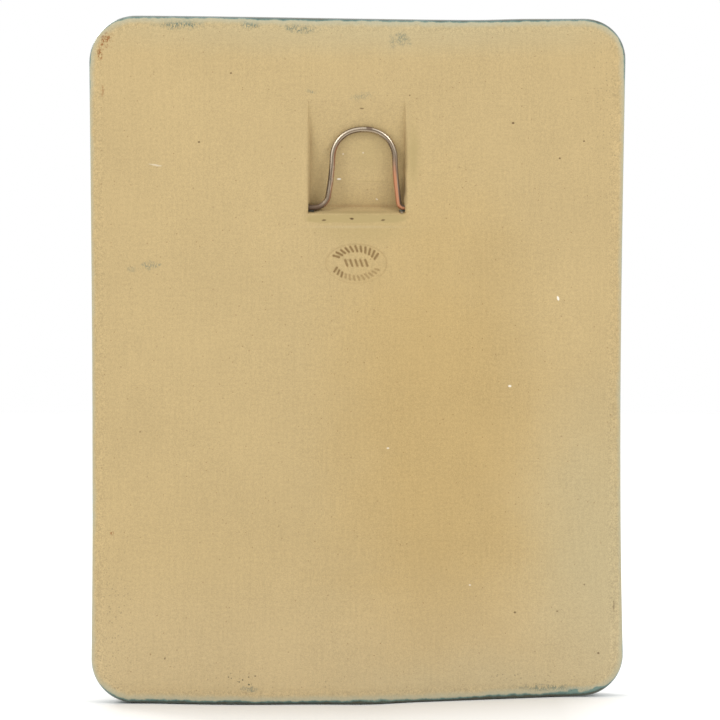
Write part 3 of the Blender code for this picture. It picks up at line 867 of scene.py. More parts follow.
def grain_group() -> bpy.types.NodeTree:
    """Build the group for fine speckle: a grain value, sparse dark grains and a height."""
    takes = {"Place": VECTOR, "Grains Per Metre": NUMBER}
    gives = dict.fromkeys(("Grain", "Speck", "Height"), NUMBER)
    tree, wires, given, out = new_group("fine_grain", takes, gives)
    place, grains = given["Place"], given["Grains Per Metre"]
    coarse = wires.noise(place, wires.times(grains, 0.37), 1.0)
    grain = wires.plus(wires.noise(place, grains, 3.0, 0.6), wires.times(coarse, 0.4))
    close, chance = wires.dots(place, wires.times(grains, 0.3), 0.10, 0.24)
    speck = wires.times(close, wires.ramp(chance, 0.90, 0.97))
    made = {"Grain": wires.times(grain, 1 / 1.4), "Speck": speck, "Height": wires.minus(grain, speck)}
    wires.feed(out, made)
    return tree


def new_material(name: str) -> tuple[bpy.types.Material, Wiring, bpy.types.Node]:
    """Start a material and return it with its wiring and its Principled shader."""
    made = bpy.data.materials.new(name)
    made.use_nodes = True
    return made, Wiring(made.node_tree), made.node_tree.nodes["Principled BSDF"]


@dataclass(frozen=True)
class ClayFinish:
    """Colours of the bare, fired clay and of what lies on it, with painted shade and painted light, and the
    bands where they change.
    """

    pale: Colour = paint(176, 154, 110)
    gold: Colour = paint(173, 148, 99)
    bloom: Colour = paint(173, 157, 119)
    # Colour of the pale fringe before the glaze, partly a painted highlight on the arris.
    fringe_and_highlight: Colour = paint(166, 164, 140)
    # Colour of the dark grains, and of the painted shade in sunk creases.
    speck_and_crease_shade: Colour = paint(122, 90, 48)
    # Colour of the dust and painted shade in the stamp's strokes.
    stroke_dust_and_shade: Colour = paint(112, 84, 44)
    # Painted light: a lighter colour towards the bottom, against the shade the floor casts there.
    painted_foot_light: Colour = paint(196, 178, 144)
    painted_foot_light_z: Band = (-0.188, -0.135)
    margin_reach: Band = (-0.0040, -0.0012)
    sunk_y: Band = (-0.0030, -0.0008)
    roughness: float = 0.88
    relief: float = 0.00006
    grains: float = 3000.0
    tones: dict = field(
        default_factory=lambda: {
            # Colour of the painted shade and of the crack line.
            Tone.PAINTED_SHADE_AND_CRACK: paint(162, 143, 97),
            # Colour of the painted shadow.
            Tone.PAINTED_SHADOW: paint(96, 76, 46),
            Tone.GLAZE_SMEAR: paint(88, 104, 92),
            Tone.SPECKLE: paint(84, 82, 58),
            Tone.RUST: paint(134, 88, 44),
            # Colour of the pale flecks, and of the painted highlight on the bevel's ridge.
            Tone.PALE_FLECK_AND_HIGHLIGHT: paint(226, 220, 206),
            Tone.DARK_PIT: paint(84, 62, 34),
        }
    )


@dataclass(frozen=True)
class GlazeFinish:
    """Colours of the blue-green glaze on the edge and front, and where it starts and runs."""

    body: Colour = paint(50, 88, 88)
    deep: Colour = paint(24, 46, 54)
    thin: Colour = paint(116, 98, 62)
    milky: Colour = paint(104, 128, 116)
    olive: Colour = paint(62, 58, 24)
    fleck: Colour = paint(66, 54, 40)
    creep: float = 0.0007
    fringe_width: float = 0.0024
    rim_width: float = 0.0008
    thin_reach: Band = (0.0045, 0.007)
    olive_starts: Band = (0.0009, 0.0017)
    olive_ends: Band = (0.0022, 0.0036)
    side_bare: float = 0.0015
    side_x: Band = (0.082, 0.0885)
    end_z: Band = (0.080, 0.105)
    foot_gain: float = 0.0003
    foot_z: Band = (-0.189, -0.186)
    run: float = 0.0010
    run_x: Band = (-0.071, -0.064)
    run_z: Band = (-0.1885, -0.186)
    roughness: float = 0.17
    relief: float = 0.00001
    ripple: float = 0.00010
    vein_count: float = 9.0
    vein_lean: float = 0.13
    vein_depth: float = 0.00022


class Stoneware:
    """The one material of the plaque: bare clay behind, glaze round the edge and in front."""

    def __init__(self, clay: ClayFinish, glaze: GlazeFinish) -> None:
        """Keep the finishes, and start the material and its node groups."""
        self.clay = clay
        self.glaze = glaze
        self.marks = mark_group()
        self.material, self.wires, self.shader = new_material("stoneware")
        self.place, (self.x, self.y, self.z) = self.wires.place()
        inputs = {"Place": self.place, "Grains Per Metre": clay.grains}
        self.grain = self.wires.node("ShaderNodeGroup", inputs, node_tree=grain_group()).outputs

    def marked(self, tone: Tone, wobble: Socket) -> Socket:
        """Return the mask of every mark of one tone."""
        mask: Socket | float = 0.0
        for mark in (Mark(*row) for row in MARKS[tone]):
            inputs = {
                "Place": self.place,
                "Wobble": wobble,
                "Centre": (mark.x * MM, 0.0, mark.z * MM),
                "Half Size": (mark.half_width * MM, 1.0, mark.half_height * MM),
                "Turn": math.radians(mark.turn),
                "Softness": mark.softness,
                "Ragged": mark.ragged,
                "Strength": mark.strength,
                "Before": mask,
            }
            mask = self.wires.node("ShaderNodeGroup", inputs, node_tree=self.marks).outputs["Mask"]
        return mask

    def wobble(self, scale: float) -> Socket:
        """Return a centred vector noise that makes the marks' edges ragged."""
        colour = self.wires.noise(self.place, scale, 3.0, 0.65, "Color")
        centred = self.wires.vector("SUBTRACT", {0: colour, 1: (0.5, 0.5, 0.5)})
        return self.wires.vector("SCALE", {0: centred, "Scale": 3.0})

    def clay_shade(self) -> Socket:
        """Return how bright the clay is: its mottle, streaks, scrapes, grain and rough margin."""
        wires, place = self.wires, self.place
        mottle = wires.noise(place, 26.0, 4.0, 0.55)
        streaks = wires.drawn(place, (900, 900, 60), 3.0, 0.65)
        scrapes = wires.drawn(place, (90, 90, 1100), 3.0, 0.65)
        margin = wires.ramp(wires.attribute("reach"), *self.clay.margin_reach)
        return wires.plus(
            wires.ramp(mottle, 0.25, 0.75, 0.965, 1.03),
            -1.0,
            wires.ramp(streaks, 0.25, 0.75, -0.025, 0.025),
            wires.ramp(scrapes, 0.25, 0.75, -0.02, 0.02),
            wires.ramp(self.grain["Grain"], 0.3, 0.7, 0.88, 1.12),
            wires.times(margin, wires.ramp(wires.noise(place, 1500.0, 3.0, 0.7), 0.36, 0.64, -0.09, 0.09)),
        )

    def clay_colour(self, curve: Socket) -> Socket:
        """Return the bare clay's colour with its stains, marks and grain, painted shade in sunk creases and
        stamp strokes, and painted light towards the bottom.
        """
        wires, clay = self.wires, self.clay
        fine = self.wobble(650.0)
        broad = self.wobble(38.0)
        colour = wires.blend(self.marked(Tone.GOLD_STAIN, broad), clay.pale, clay.gold)
        colour = wires.blend(self.marked(Tone.GREY_BLOOM, broad), colour, clay.bloom)
        # Painted light: the clay is made lighter towards the bottom, against the shade the floor casts
        # there.
        colour = wires.blend(wires.ramp(self.z, *clay.painted_foot_light_z, 0.25, 0.0), colour, clay.painted_foot_light)
        colour = wires.vector("SCALE", {0: colour, "Scale": self.clay_shade()})
        colour = wires.blend(wires.times(self.grain["Speck"], 0.55), colour, clay.speck_and_crease_shade)
        # Painted shade: darker in concave creases that lie sunk below the back, in the pocket.
        sunk = wires.ramp(self.y, *clay.sunk_y, 0.5, 0.0)
        speck_and_crease_shade = wires.times(wires.ramp(curve, -0.75, -0.08, 1.0, 0.0), sunk)
        colour = wires.blend(speck_and_crease_shade, colour, clay.speck_and_crease_shade)
        # Dust and painted shade in the stamp's strokes and its oval outline.
        colour = wires.blend(wires.times(wires.attribute("stroke"), 0.75), colour, clay.stroke_dust_and_shade)
        brushed = wires.drawn(self.place, (2600, 2600, 1300), 2.0, 0.6)
        close, chance = wires.dots(self.place, 1000.0, 0.16, 0.34)
        broken = {
            Tone.GLAZE_SMEAR: wires.ramp(brushed, 0.40, 0.56),
            Tone.SPECKLE: wires.times(close, wires.ramp(chance, 0.45, 0.6)),
            Tone.RUST: wires.ramp(brushed, 0.42, 0.52),
        }
        for tone, shown in clay.tones.items():
            mask = self.marked(tone, fine)
            if tone in broken:
                mask = wires.times(mask, broken[tone])
            colour = wires.blend(mask, colour, shown)
        return colour

    def glaze_colour(self, curve: Socket, veins: Socket, reach: Socket) -> Socket:
        """Return the glaze's colour: thin on raised edges and deep in hollows.

        Args:
            curve: How far the surface stands out.
            veins: The mask of the leaves' veins.
            reach: The way round the edge from where the glaze is measured.

        Returns:
            The colour.
        """
        wires, glaze = self.wires, self.glaze
        mottle = wires.noise(self.place, 300.0, 4.0, 0.65)
        pool = wires.ramp(wires.noise(self.place, 42.0, 3.0), 0.35, 0.75, 0.0, 0.6)
        colour = wires.blend(pool, glaze.body, glaze.milky)
        colour = wires.blend(wires.ramp(mottle, 0.45, 0.7, 0.0, 0.3), colour, glaze.deep)
        rim = wires.ramp(reach, glaze.creep, glaze.creep + glaze.rim_width, 0.8, 0.0)
        colour = wires.blend(rim, colour, glaze.milky)
        hollow = wires.most(
            wires.ramp(curve, -0.45, 0.0, 0.9, 0.0),
            wires.times(wires.attribute("pooled"), 0.85),
            wires.times(veins, 0.9),
        )
        colour = wires.blend(hollow, colour, glaze.deep)
        ragged = wires.plus(curve, wires.ramp(mottle, 0.3, 0.7, -0.14, 0.14))
        bare = wires.times(wires.ramp(ragged, 0.08, 0.42), wires.ramp(reach, *glaze.thin_reach, 0.0, 0.92))
        colour = wires.blend(bare, colour, glaze.thin)
        line = wires.times(
            wires.ramp(reach, *glaze.olive_starts),
            wires.ramp(reach, *glaze.olive_ends, 0.95, 0.0),
            wires.ramp(mottle, 0.3, 0.65, 0.65, 1.0),
        )
        colour = wires.blend(line, colour, glaze.olive)
        return wires.blend(wires.times(self.grain["Speck"], 0.8), colour, glaze.fleck)

    def veins(self) -> Socket:
        """Return the mask of the leaves' side veins and midrib."""
        wires, glaze = self.wires, self.glaze
        across = wires.size(wires.attribute("leaf_across"))
        lean = wires.times(wires.math("POWER", across, 1.3), glaze.vein_lean)
        phase = wires.minus(wires.attribute("leaf_along"), lean)
        turn = wires.times(phase, glaze.vein_count * 2 * math.pi)
        side = wires.times(wires.ramp(wires.math("SINE", turn), 0.72, 1.0), wires.ramp(across, 0.04, 0.16))
        middle = wires.ramp(across, 0.02, 0.07, 1.0, 0.0)
        return wires.times(wires.most(side, middle), wires.attribute("leaf_on"))

    def reach(self) -> Socket:
        """Return the way round the edge from where the glaze is measured, made ragged."""
        wires, glaze = self.wires, self.glaze
        ragged = wires.ramp(wires.noise(self.place, 330.0, 4.0, 0.6), 0.2, 0.8, -0.00035, 0.00035)
        drift = wires.ramp(wires.noise(self.place, 30.0, 2.0), 0.3, 0.7, -0.0004, 0.0003)
        end = wires.size(wires.minus(self.z, Slab().middle_z))
        side = wires.ramp(wires.size(self.x), *glaze.side_x, 0.0, glaze.side_bare)
        bare = wires.times(side, wires.ramp(end, *glaze.end_z, 1.0, 0.5))
        reach = wires.minus(wires.plus(wires.attribute("reach"), ragged, drift), bare)
        return wires.plus(reach, wires.ramp(self.z, *glaze.foot_z, glaze.foot_gain, 0.0))

    def build(self) -> bpy.types.Material:
        """Join clay and glaze in the one shader and return the material."""
        wires, clay, glaze = self.wires, self.clay, self.glaze
        curve = wires.attribute("curve")
        veins = self.veins()
        reach = self.reach()
        run = wires.times(
            wires.ramp(self.x, *glaze.run_x, glaze.run, 0.0), wires.ramp(self.z, *glaze.run_z, 1.0, 0.0)
        )
        blot = wires.ramp(wires.noise(self.place, 190.0, 2.0), 0.38, 0.62, 0.1, 1.2)
        spread = wires.plus(reach, wires.times(run, blot))
        glazed = wires.ramp(spread, glaze.creep - 0.00025, glaze.creep + 0.00035)
        # A pale fringe on the clay just before the glaze starts: partly the edge's own pale colour, partly a
        # painted highlight on the arris.
        edge = wires.ramp(spread, glaze.creep - glaze.fringe_width, glaze.creep, 0.0, 0.75)
        bare = wires.blend(edge, self.clay_colour(curve), clay.fringe_and_highlight)
        relief = wires.times(self.grain["Height"], wires.ramp(glazed, 0, 1, clay.relief, glaze.relief))
        height = wires.minus(relief, wires.times(veins, glaze.vein_depth))
        height = wires.plus(height, wires.times(wires.noise(self.place, 160.0, 2.0), glaze.ripple))
        bump = {"Height": height, "Distance": 1.0, "Strength": 1.0}
        looks = {
            "Base Color": wires.blend(glazed, bare, self.glaze_colour(curve, veins, reach)),
            "Roughness": wires.ramp(glazed, 0.0, 1.0, clay.roughness, glaze.roughness),
            "Coat Weight": wires.times(glazed, 0.7),
            "Normal": wires.node("ShaderNodeBump", bump).outputs[0],
            "Coat Roughness": 0.08,
            "Specular IOR Level": 0.45,
        }
        wires.feed(self.shader, looks)
        return self.material


def settle(bm: bmesh.types.BMesh) -> None:
    """Put the vertices, edges and faces of a blank in an order that is the same each run."""

    def place(vert: bmesh.types.BMVert) -> tuple[float, ...]:
        """Return a vertex's place in the lattice."""
        return tuple(round(value, 4) for value in vert.co)

    def corners(item: bmesh.types.BMEdge | bmesh.types.BMFace) -> list[int]:
        """Return an edge's or a face's vertices in their new order."""
        return sorted(vert.index for vert in item.verts)

    for items, key in ((bm.verts, place), (bm.edges, corners), (bm.faces, corners)):
        for rank, item in enumerate(sorted(items, key=key)):
            item.index = rank
        items.sort()


def at_level(face: bmesh.types.BMFace, level: float) -> bool:
    """Return whether a whole face of the blank lies at one level."""
    return all(abs(vert.co.z - level) <= 1e-4 for vert in face.verts)


@dataclass
class Plaque:
    """The stoneware plaque: one closed mesh made from a flat blank of lattice cells."""

    slab: Slab = field(default_factory=Slab)
    pocket: Pocket = field(default_factory=Pocket)
    spray: LeafSpray = field(default_factory=LeafSpray)
    stamp: Stamp = field(default_factory=Stamp)
    hole_sides: int = 32
    rod_start: float = 0.002
    merge: float = 0.00001
    pool_rounds: int = 30
    pool_depth: float = 0.0007
    full_curve: float = 700
    sharp_angle: float = 50

    def __post_init__(self) -> None:
        """Lay out the lattice lines of the back and the front."""
        slab, pocket = self.slab, self.pocket
        edge_x = slab.width / 2 - slab.back_arris
        edge_z = slab.height / 2 - slab.back_arris
        low_x = pocket.centre_x - pocket.width / 2
        high_x = pocket.centre_x + pocket.width / 2
        self.back_x = spaced([
            (-edge_x, 0), (-0.082, 7), (-0.024, 22), (low_x - 0.0022, 8), (low_x, 1),
            (high_x, 66), (high_x + 0.0013, 1), (0.024, 8), (0.082, 22), (edge_x, 7),
        ])
        self.back_z = spaced([
            (slab.middle_z - edge_z, 0), (-0.183, 7), (-0.054, 46), (-0.037, 34), (-0.0316, 9),
            (pocket.lip, 9), (pocket.top, 64), (0.016, 6), (0.030, 6), (slab.middle_z + edge_z, 7),
        ])
        self.count_x = len(self.back_x) - 1
        self.count_z = len(self.back_z) - 1
        inset = slab.side_draft + slab.front_arris
        self.front_x = np.linspace(-1, 1, self.count_x + 1) * (slab.width / 2 - inset)
        self.front_z = np.linspace(-1, 1, self.count_z + 1) * (slab.height / 2 - inset)

    def region(self, centre: tuple[float, float], half_x: float, half_z: float) -> tuple:
        """Return the first and last lattice line of a rectangle of the back, across and up."""
        return tuple(
            (
                int(np.searchsorted(self.back_x, centre[0] + side * half_x - TINY)),
                int(np.searchsorted(self.back_z, centre[1] + side * half_z - TINY)),
            )
            for side in (-1, 1)
        )

    def refine(self, bm: bmesh.types.BMesh, faces: list) -> None:
        """Halve the cells of these faces."""
        edges = list(dict.fromkeys(edge for face in faces for edge in face.edges))
        bmesh.ops.subdivide_edges(bm, edges=edges, cuts=1, use_grid_fill=True)

    def raised_cells(self) -> Array:
        """Return which cells of the front lattice the leaf spray touches."""
        x, z = np.meshgrid(self.front_x, self.front_z + self.slab.middle_z, indexing="ij")
        touched = self.spray.rise(x, z)[0] > 0.00002
        grown = touched.copy()
        for axis in (0, 1):
            for step in (-1, 1):
                grown |= np.roll(touched, step, axis)
        return grown[:-1, :-1] | grown[1:, :-1] | grown[:-1, 1:] | grown[1:, 1:]

    def pull(self, bm: bmesh.types.BMesh, faces: list, level: int, rows: int) -> None:
        """Pull faces of the blank's back to another level, with rows of faces on the way."""
        made = bmesh.ops.extrude_face_region(bm, geom=faces)["geom"]
        moved = [item for item in made if isinstance(item, bmesh.types.BMVert)]
        bmesh.ops.translate(bm, verts=moved, vec=(0, 0, level))
        upright = [e for e in bm.edges if {round(v.co.z, 3) for v in e.verts} == {0, level}]
        bmesh.ops.subdivide_edges(bm, edges=upright, cuts=rows - 1)

    def blank(self) -> bpy.types.Mesh:
        """Build the blank in lattice space: back at 0, front at 1, pocket floor at -1."""
        pocket, stamp = self.pocket, self.stamp
        bm = bmesh.new()
        bmesh.ops.create_grid(bm, x_segments=self.count_x, y_segments=self.count_z, size=1)
        self.pull(bm, list(bm.faces), 1, self.slab.rim_steps)
        centre = (pocket.centre_x, (pocket.top + pocket.lip) / 2)
        region = self.region(centre, pocket.width / 2, (pocket.top - pocket.lip) / 2)
        pressed = [face for face in bm.faces if self.in_region(face, region)]
        self.pull(bm, pressed, -1, pocket.rows)
        bmesh.ops.delete(bm, geom=pressed, context="FACES")
        centre = (stamp.centre_x, stamp.centre_z)
        region = self.region(centre, stamp.half_width + MM, stamp.half_height + MM)
        self.refine(bm, [face for face in bm.faces if self.in_region(face, region)])
        raised = self.raised_cells()
        self.refine(bm, [face for face in bm.faces if at_level(face, 1) and raised[self.cell_of(face)]])
        bmesh.ops.recalc_face_normals(bm, faces=bm.faces)
        settle(bm)
        return mesh_from(bm, "plaque")

    def cell_of(self, face: bmesh.types.BMFace) -> tuple[int, int]:
        """Return the lattice cell that a face of the blank lies in."""
        middle = face.calc_center_median()
        return int((middle.x + 1) / 2 * self.count_x), int((middle.y + 1) / 2 * self.count_z)

    def in_region(self, face: bmesh.types.BMFace, region: tuple) -> bool:
        """Return whether a face lies in a lattice rectangle of the blank's back."""
        if not at_level(face, 0):
            return False
        return all(low <= place < high for place, low, high in zip(self.cell_of(face), *region))

    def shape(self, mesh: bpy.types.Mesh) -> None:
        """Press the blank to the plaque's shape and keep what its finish needs."""
        slab, pocket = self.slab, self.pocket
        blank = read_points(mesh)
        level = blank[:, 2]
        back_x = on_line(blank[:, 0], self.back_x)
        back_z = on_line(blank[:, 1], self.back_z)
        front_x = on_line(blank[:, 0], self.front_x)
        front_z = on_line(blank[:, 1], self.front_z)
        round_edge = np.clip(level, 0, 1)
        across = between(back_x / self.back_x[-1], front_x / self.front_x[-1], round_edge)
        half_z = self.back_z[-1] - slab.middle_z
        up = between((back_z - slab.middle_z) / half_z, front_z / self.front_z[-1], round_edge)
        rim = slab.rim()
        steps = np.arange(len(rim)) / (len(rim) - 1)
        inset, depth, reach = (np.interp(round_edge, steps, values) for values in rim.T)
        flat_x, flat_z = slab.rounded(across, up, inset)
        x, z = slab.pressed(flat_x, flat_z)

        is_back = level < 1e-4
        is_front = level > 1 - 1e-4
        pressed, stroke_mask = self.stamp.press(x, z)
        back = slab.back_depth(flat_x, flat_z) + pocket.band(x, z) + pressed
        depth = np.where(is_back, back, depth)
        reach = np.where(is_back, -slab.inside(flat_x, flat_z, slab.back_arris), reach)
        rise, along, leaf_across, on_leaf = self.spray.rise(x, z)
        depth = np.where(is_front, slab.thickness - slab.front_fall(flat_x, flat_z) + rise, depth)
        reach = np.where(is_front, reach + slab.inside(flat_x, flat_z, slab.side_draft), reach)
        points = np.column_stack([x, -depth, z])

        within = self.in_pocket(back_x, back_z, TINY) & is_back
        floor = self.in_pocket(back_x, back_z, -TINY) & is_back
        walls = within & ~floor
        made = pocket.wall_points(back_x[walls], back_z[walls], -level[walls])
        points[walls] = made[:, [0, 2, 1]] * (1, -1, 1)
        made = pocket.floor_points(back_x[floor], back_z[floor]).T
        points[floor] = made[:, [0, 2, 1]] * (1, -1, 1)
        move_points(mesh, points)
        kept = {
            "reach": reach,
            "stroke": np.where(is_back & ~within, stroke_mask, 0),
            "leaf_along": along * is_front,
            "leaf_across": leaf_across * is_front,
            "leaf_on": on_leaf * is_front,
        }
        keep_values(mesh, kept)

    def in_pocket(self, x: Array, z: Array, slack: float) -> Array:
        """Return which points of the lattice lie in the pocket's outline, grown by a slack."""
        pocket = self.pocket
        inside = np.abs(x - pocket.centre_x) < pocket.width / 2 + slack
        return inside & (z > pocket.lip - slack) & (z < pocket.top + slack)

    def rod(self, side: int) -> bpy.types.Object:
        """Build the rod that cuts one pivot hole; side is 1 for +X."""
        pocket = self.pocket
        wall = pocket.centre_x + side * pocket.width / 2
        length = pocket.hole_depth + self.rod_start
        ends = {"radius1": pocket.hole_radius, "radius2": pocket.hole_radius, "depth": length}
        bm = bmesh.new()
        bmesh.ops.create_cone(bm, cap_ends=True, segments=self.hole_sides, **ends)
        bmesh.ops.rotate(bm, verts=bm.verts, matrix=Matrix.Rotation(math.pi / 2, 3, "Y"))
        middle = Vector((wall + side * (length / 2 - self.rod_start), 0, 0)) + HangerWire().hinge()
        bmesh.ops.translate(bm, verts=bm.verts, vec=middle)
        bmesh.ops.recalc_face_normals(bm, faces=bm.faces)
        return place_object("pivot_rod", mesh_from(bm, "pivot_rod"))

    def drill(self, piece: bpy.types.Object) -> None:
        """Cut the two pivot holes and keep the result as the piece's mesh."""
        rods = [self.rod(1), self.rod(-1)]
        for rod in rods:
            cut = piece.modifiers.new("pivot_hole", "BOOLEAN")
            cut.operation = "DIFFERENCE"
            cut.solver = "EXACT"
            cut.object = rod
        graph = bpy.context.evaluated_depsgraph_get()
        drilled = bpy.data.meshes.new_from_object(piece.evaluated_get(graph))
        piece.modifiers.clear()
        self.tidy_mesh(drilled)
        piece.data = drilled
        for rod in rods:
            bpy.data.objects.remove(rod)

    def tidy_mesh(self, mesh: bpy.types.Mesh) -> None:
        """Merge the rows that close up at the pocket's top, and close what is left open."""
        bm = bmesh.new()
        bm.from_mesh(mesh)
        bmesh.ops.remove_doubles(bm, verts=bm.verts, dist=self.merge)
        bmesh.ops.dissolve_degenerate(bm, edges=bm.edges, dist=self.merge)
        bmesh.ops.delete(bm, geom=[edge for edge in bm.edges if edge.is_wire], context="EDGES")
        bmesh.ops.holes_fill(bm, edges=[edge for edge in bm.edges if edge.is_boundary], sides=0)
        bm.to_mesh(mesh)
        bm.free()

    def keep_curvature(self, mesh: bpy.types.Mesh) -> None:
        """Keep on each vertex how far it stands out of, or lies below, its neighbours."""
        points = read_points(mesh)
        normals = read_points(mesh, "normal")
        ends = np.zeros(len(mesh.edges) * 2, int)
        mesh.edges.foreach_get("vertices", ends)
        first, second = ends.reshape(-1, 2).T
        count = len(points)

        def averaged(to_first: Array, to_second: Array, weight: Array) -> Array:
            """Average what the edges bring to their first and second ends, by weight."""
            total = np.bincount(first, to_first, count) + np.bincount(second, to_second, count)
            shares = np.bincount(first, weight, count) + np.bincount(second, weight, count)
            return total / np.maximum(shares, 1e-12)

        def spread(value: Array, rounds: int) -> Array:
            """Even a value out between neighbours, some rounds over."""
            for _ in range(rounds):
                value = (value + averaged(value[second], value[first], np.ones(len(first)))) / 2
            return value

        span = points[second] - points[first]
        length = np.sqrt((span**2).sum(1)) + 1e-9
        bend = ((normals[second] - normals[first]) * span).sum(1) / length**2
        curve = spread(averaged(bend * length, bend * length, length), 3)
        height = -points[:, 1]
        pooled = np.clip((spread(height, self.pool_rounds) - height) / self.pool_depth, 0, 1)
        pooled = pooled * (normals[:, 1] < -0.7)
        keep_values(mesh, {"curve": np.clip(curve / self.full_curve, -1, 1), "pooled": pooled})

    def build(self) -> bpy.types.Object:
        """Make the plaque, dress it and hang it in the frame."""
        mesh = self.blank()
        self.shape(mesh)
        self.tidy_mesh(mesh)
        piece = place_object("stoneware_plaque", mesh)
        self.drill(piece)
        piece.data.shade_smooth()
        piece.data.set_sharp_from_angle(angle=math.radians(self.sharp_angle))
        self.keep_curvature(piece.data)
        piece.data.materials.clear()
        piece.data.materials.append(Stoneware(ClayFinish(), GlazeFinish()).build())
        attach(piece, "plaque")
        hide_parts("plaque")
        return piece


@dataclass(frozen=True)
class WireFinish:
    """Colours of the oxidised steel wire, with a painted highlight and a painted shade band, and where on
    the loop each one lies.
    """

    steel: Colour = paint(176, 160, 138)
    # Colour of the dark oxide streaks and of the painted shade band.
    dark: Colour = paint(100, 86, 72)
    # Colour of the painted highlight.
    painted_highlight: Colour = paint(216, 202, 180)
    rust: Colour = paint(142, 98, 66)
    burnt: Colour = paint(88, 66, 48)
    copper: Colour = paint(184, 126, 92)
    roughness: float = 0.3
    rust_roughness: float = 0.55
    relief: float = 0.00002
    painted_highlight_z: Band = (-0.016, -0.004)
    left_leg_x: Band = (0.0035, 0.0120)
    rust_z: Band = (-0.006, -0.001)
    apex_x: Band = (-0.0055, -0.0026)
    apex_z: Band = (-0.004, -0.001)
    foot_x: Band = (0.0098, 0.0135)
    foot_z: Band = (-0.022, -0.016)
    right_leg_x: Band = (-0.0122, -0.0112)
    outer_z: Band = (-0.009, -0.005)
    copper_z: Band = (-0.0160, -0.0075)


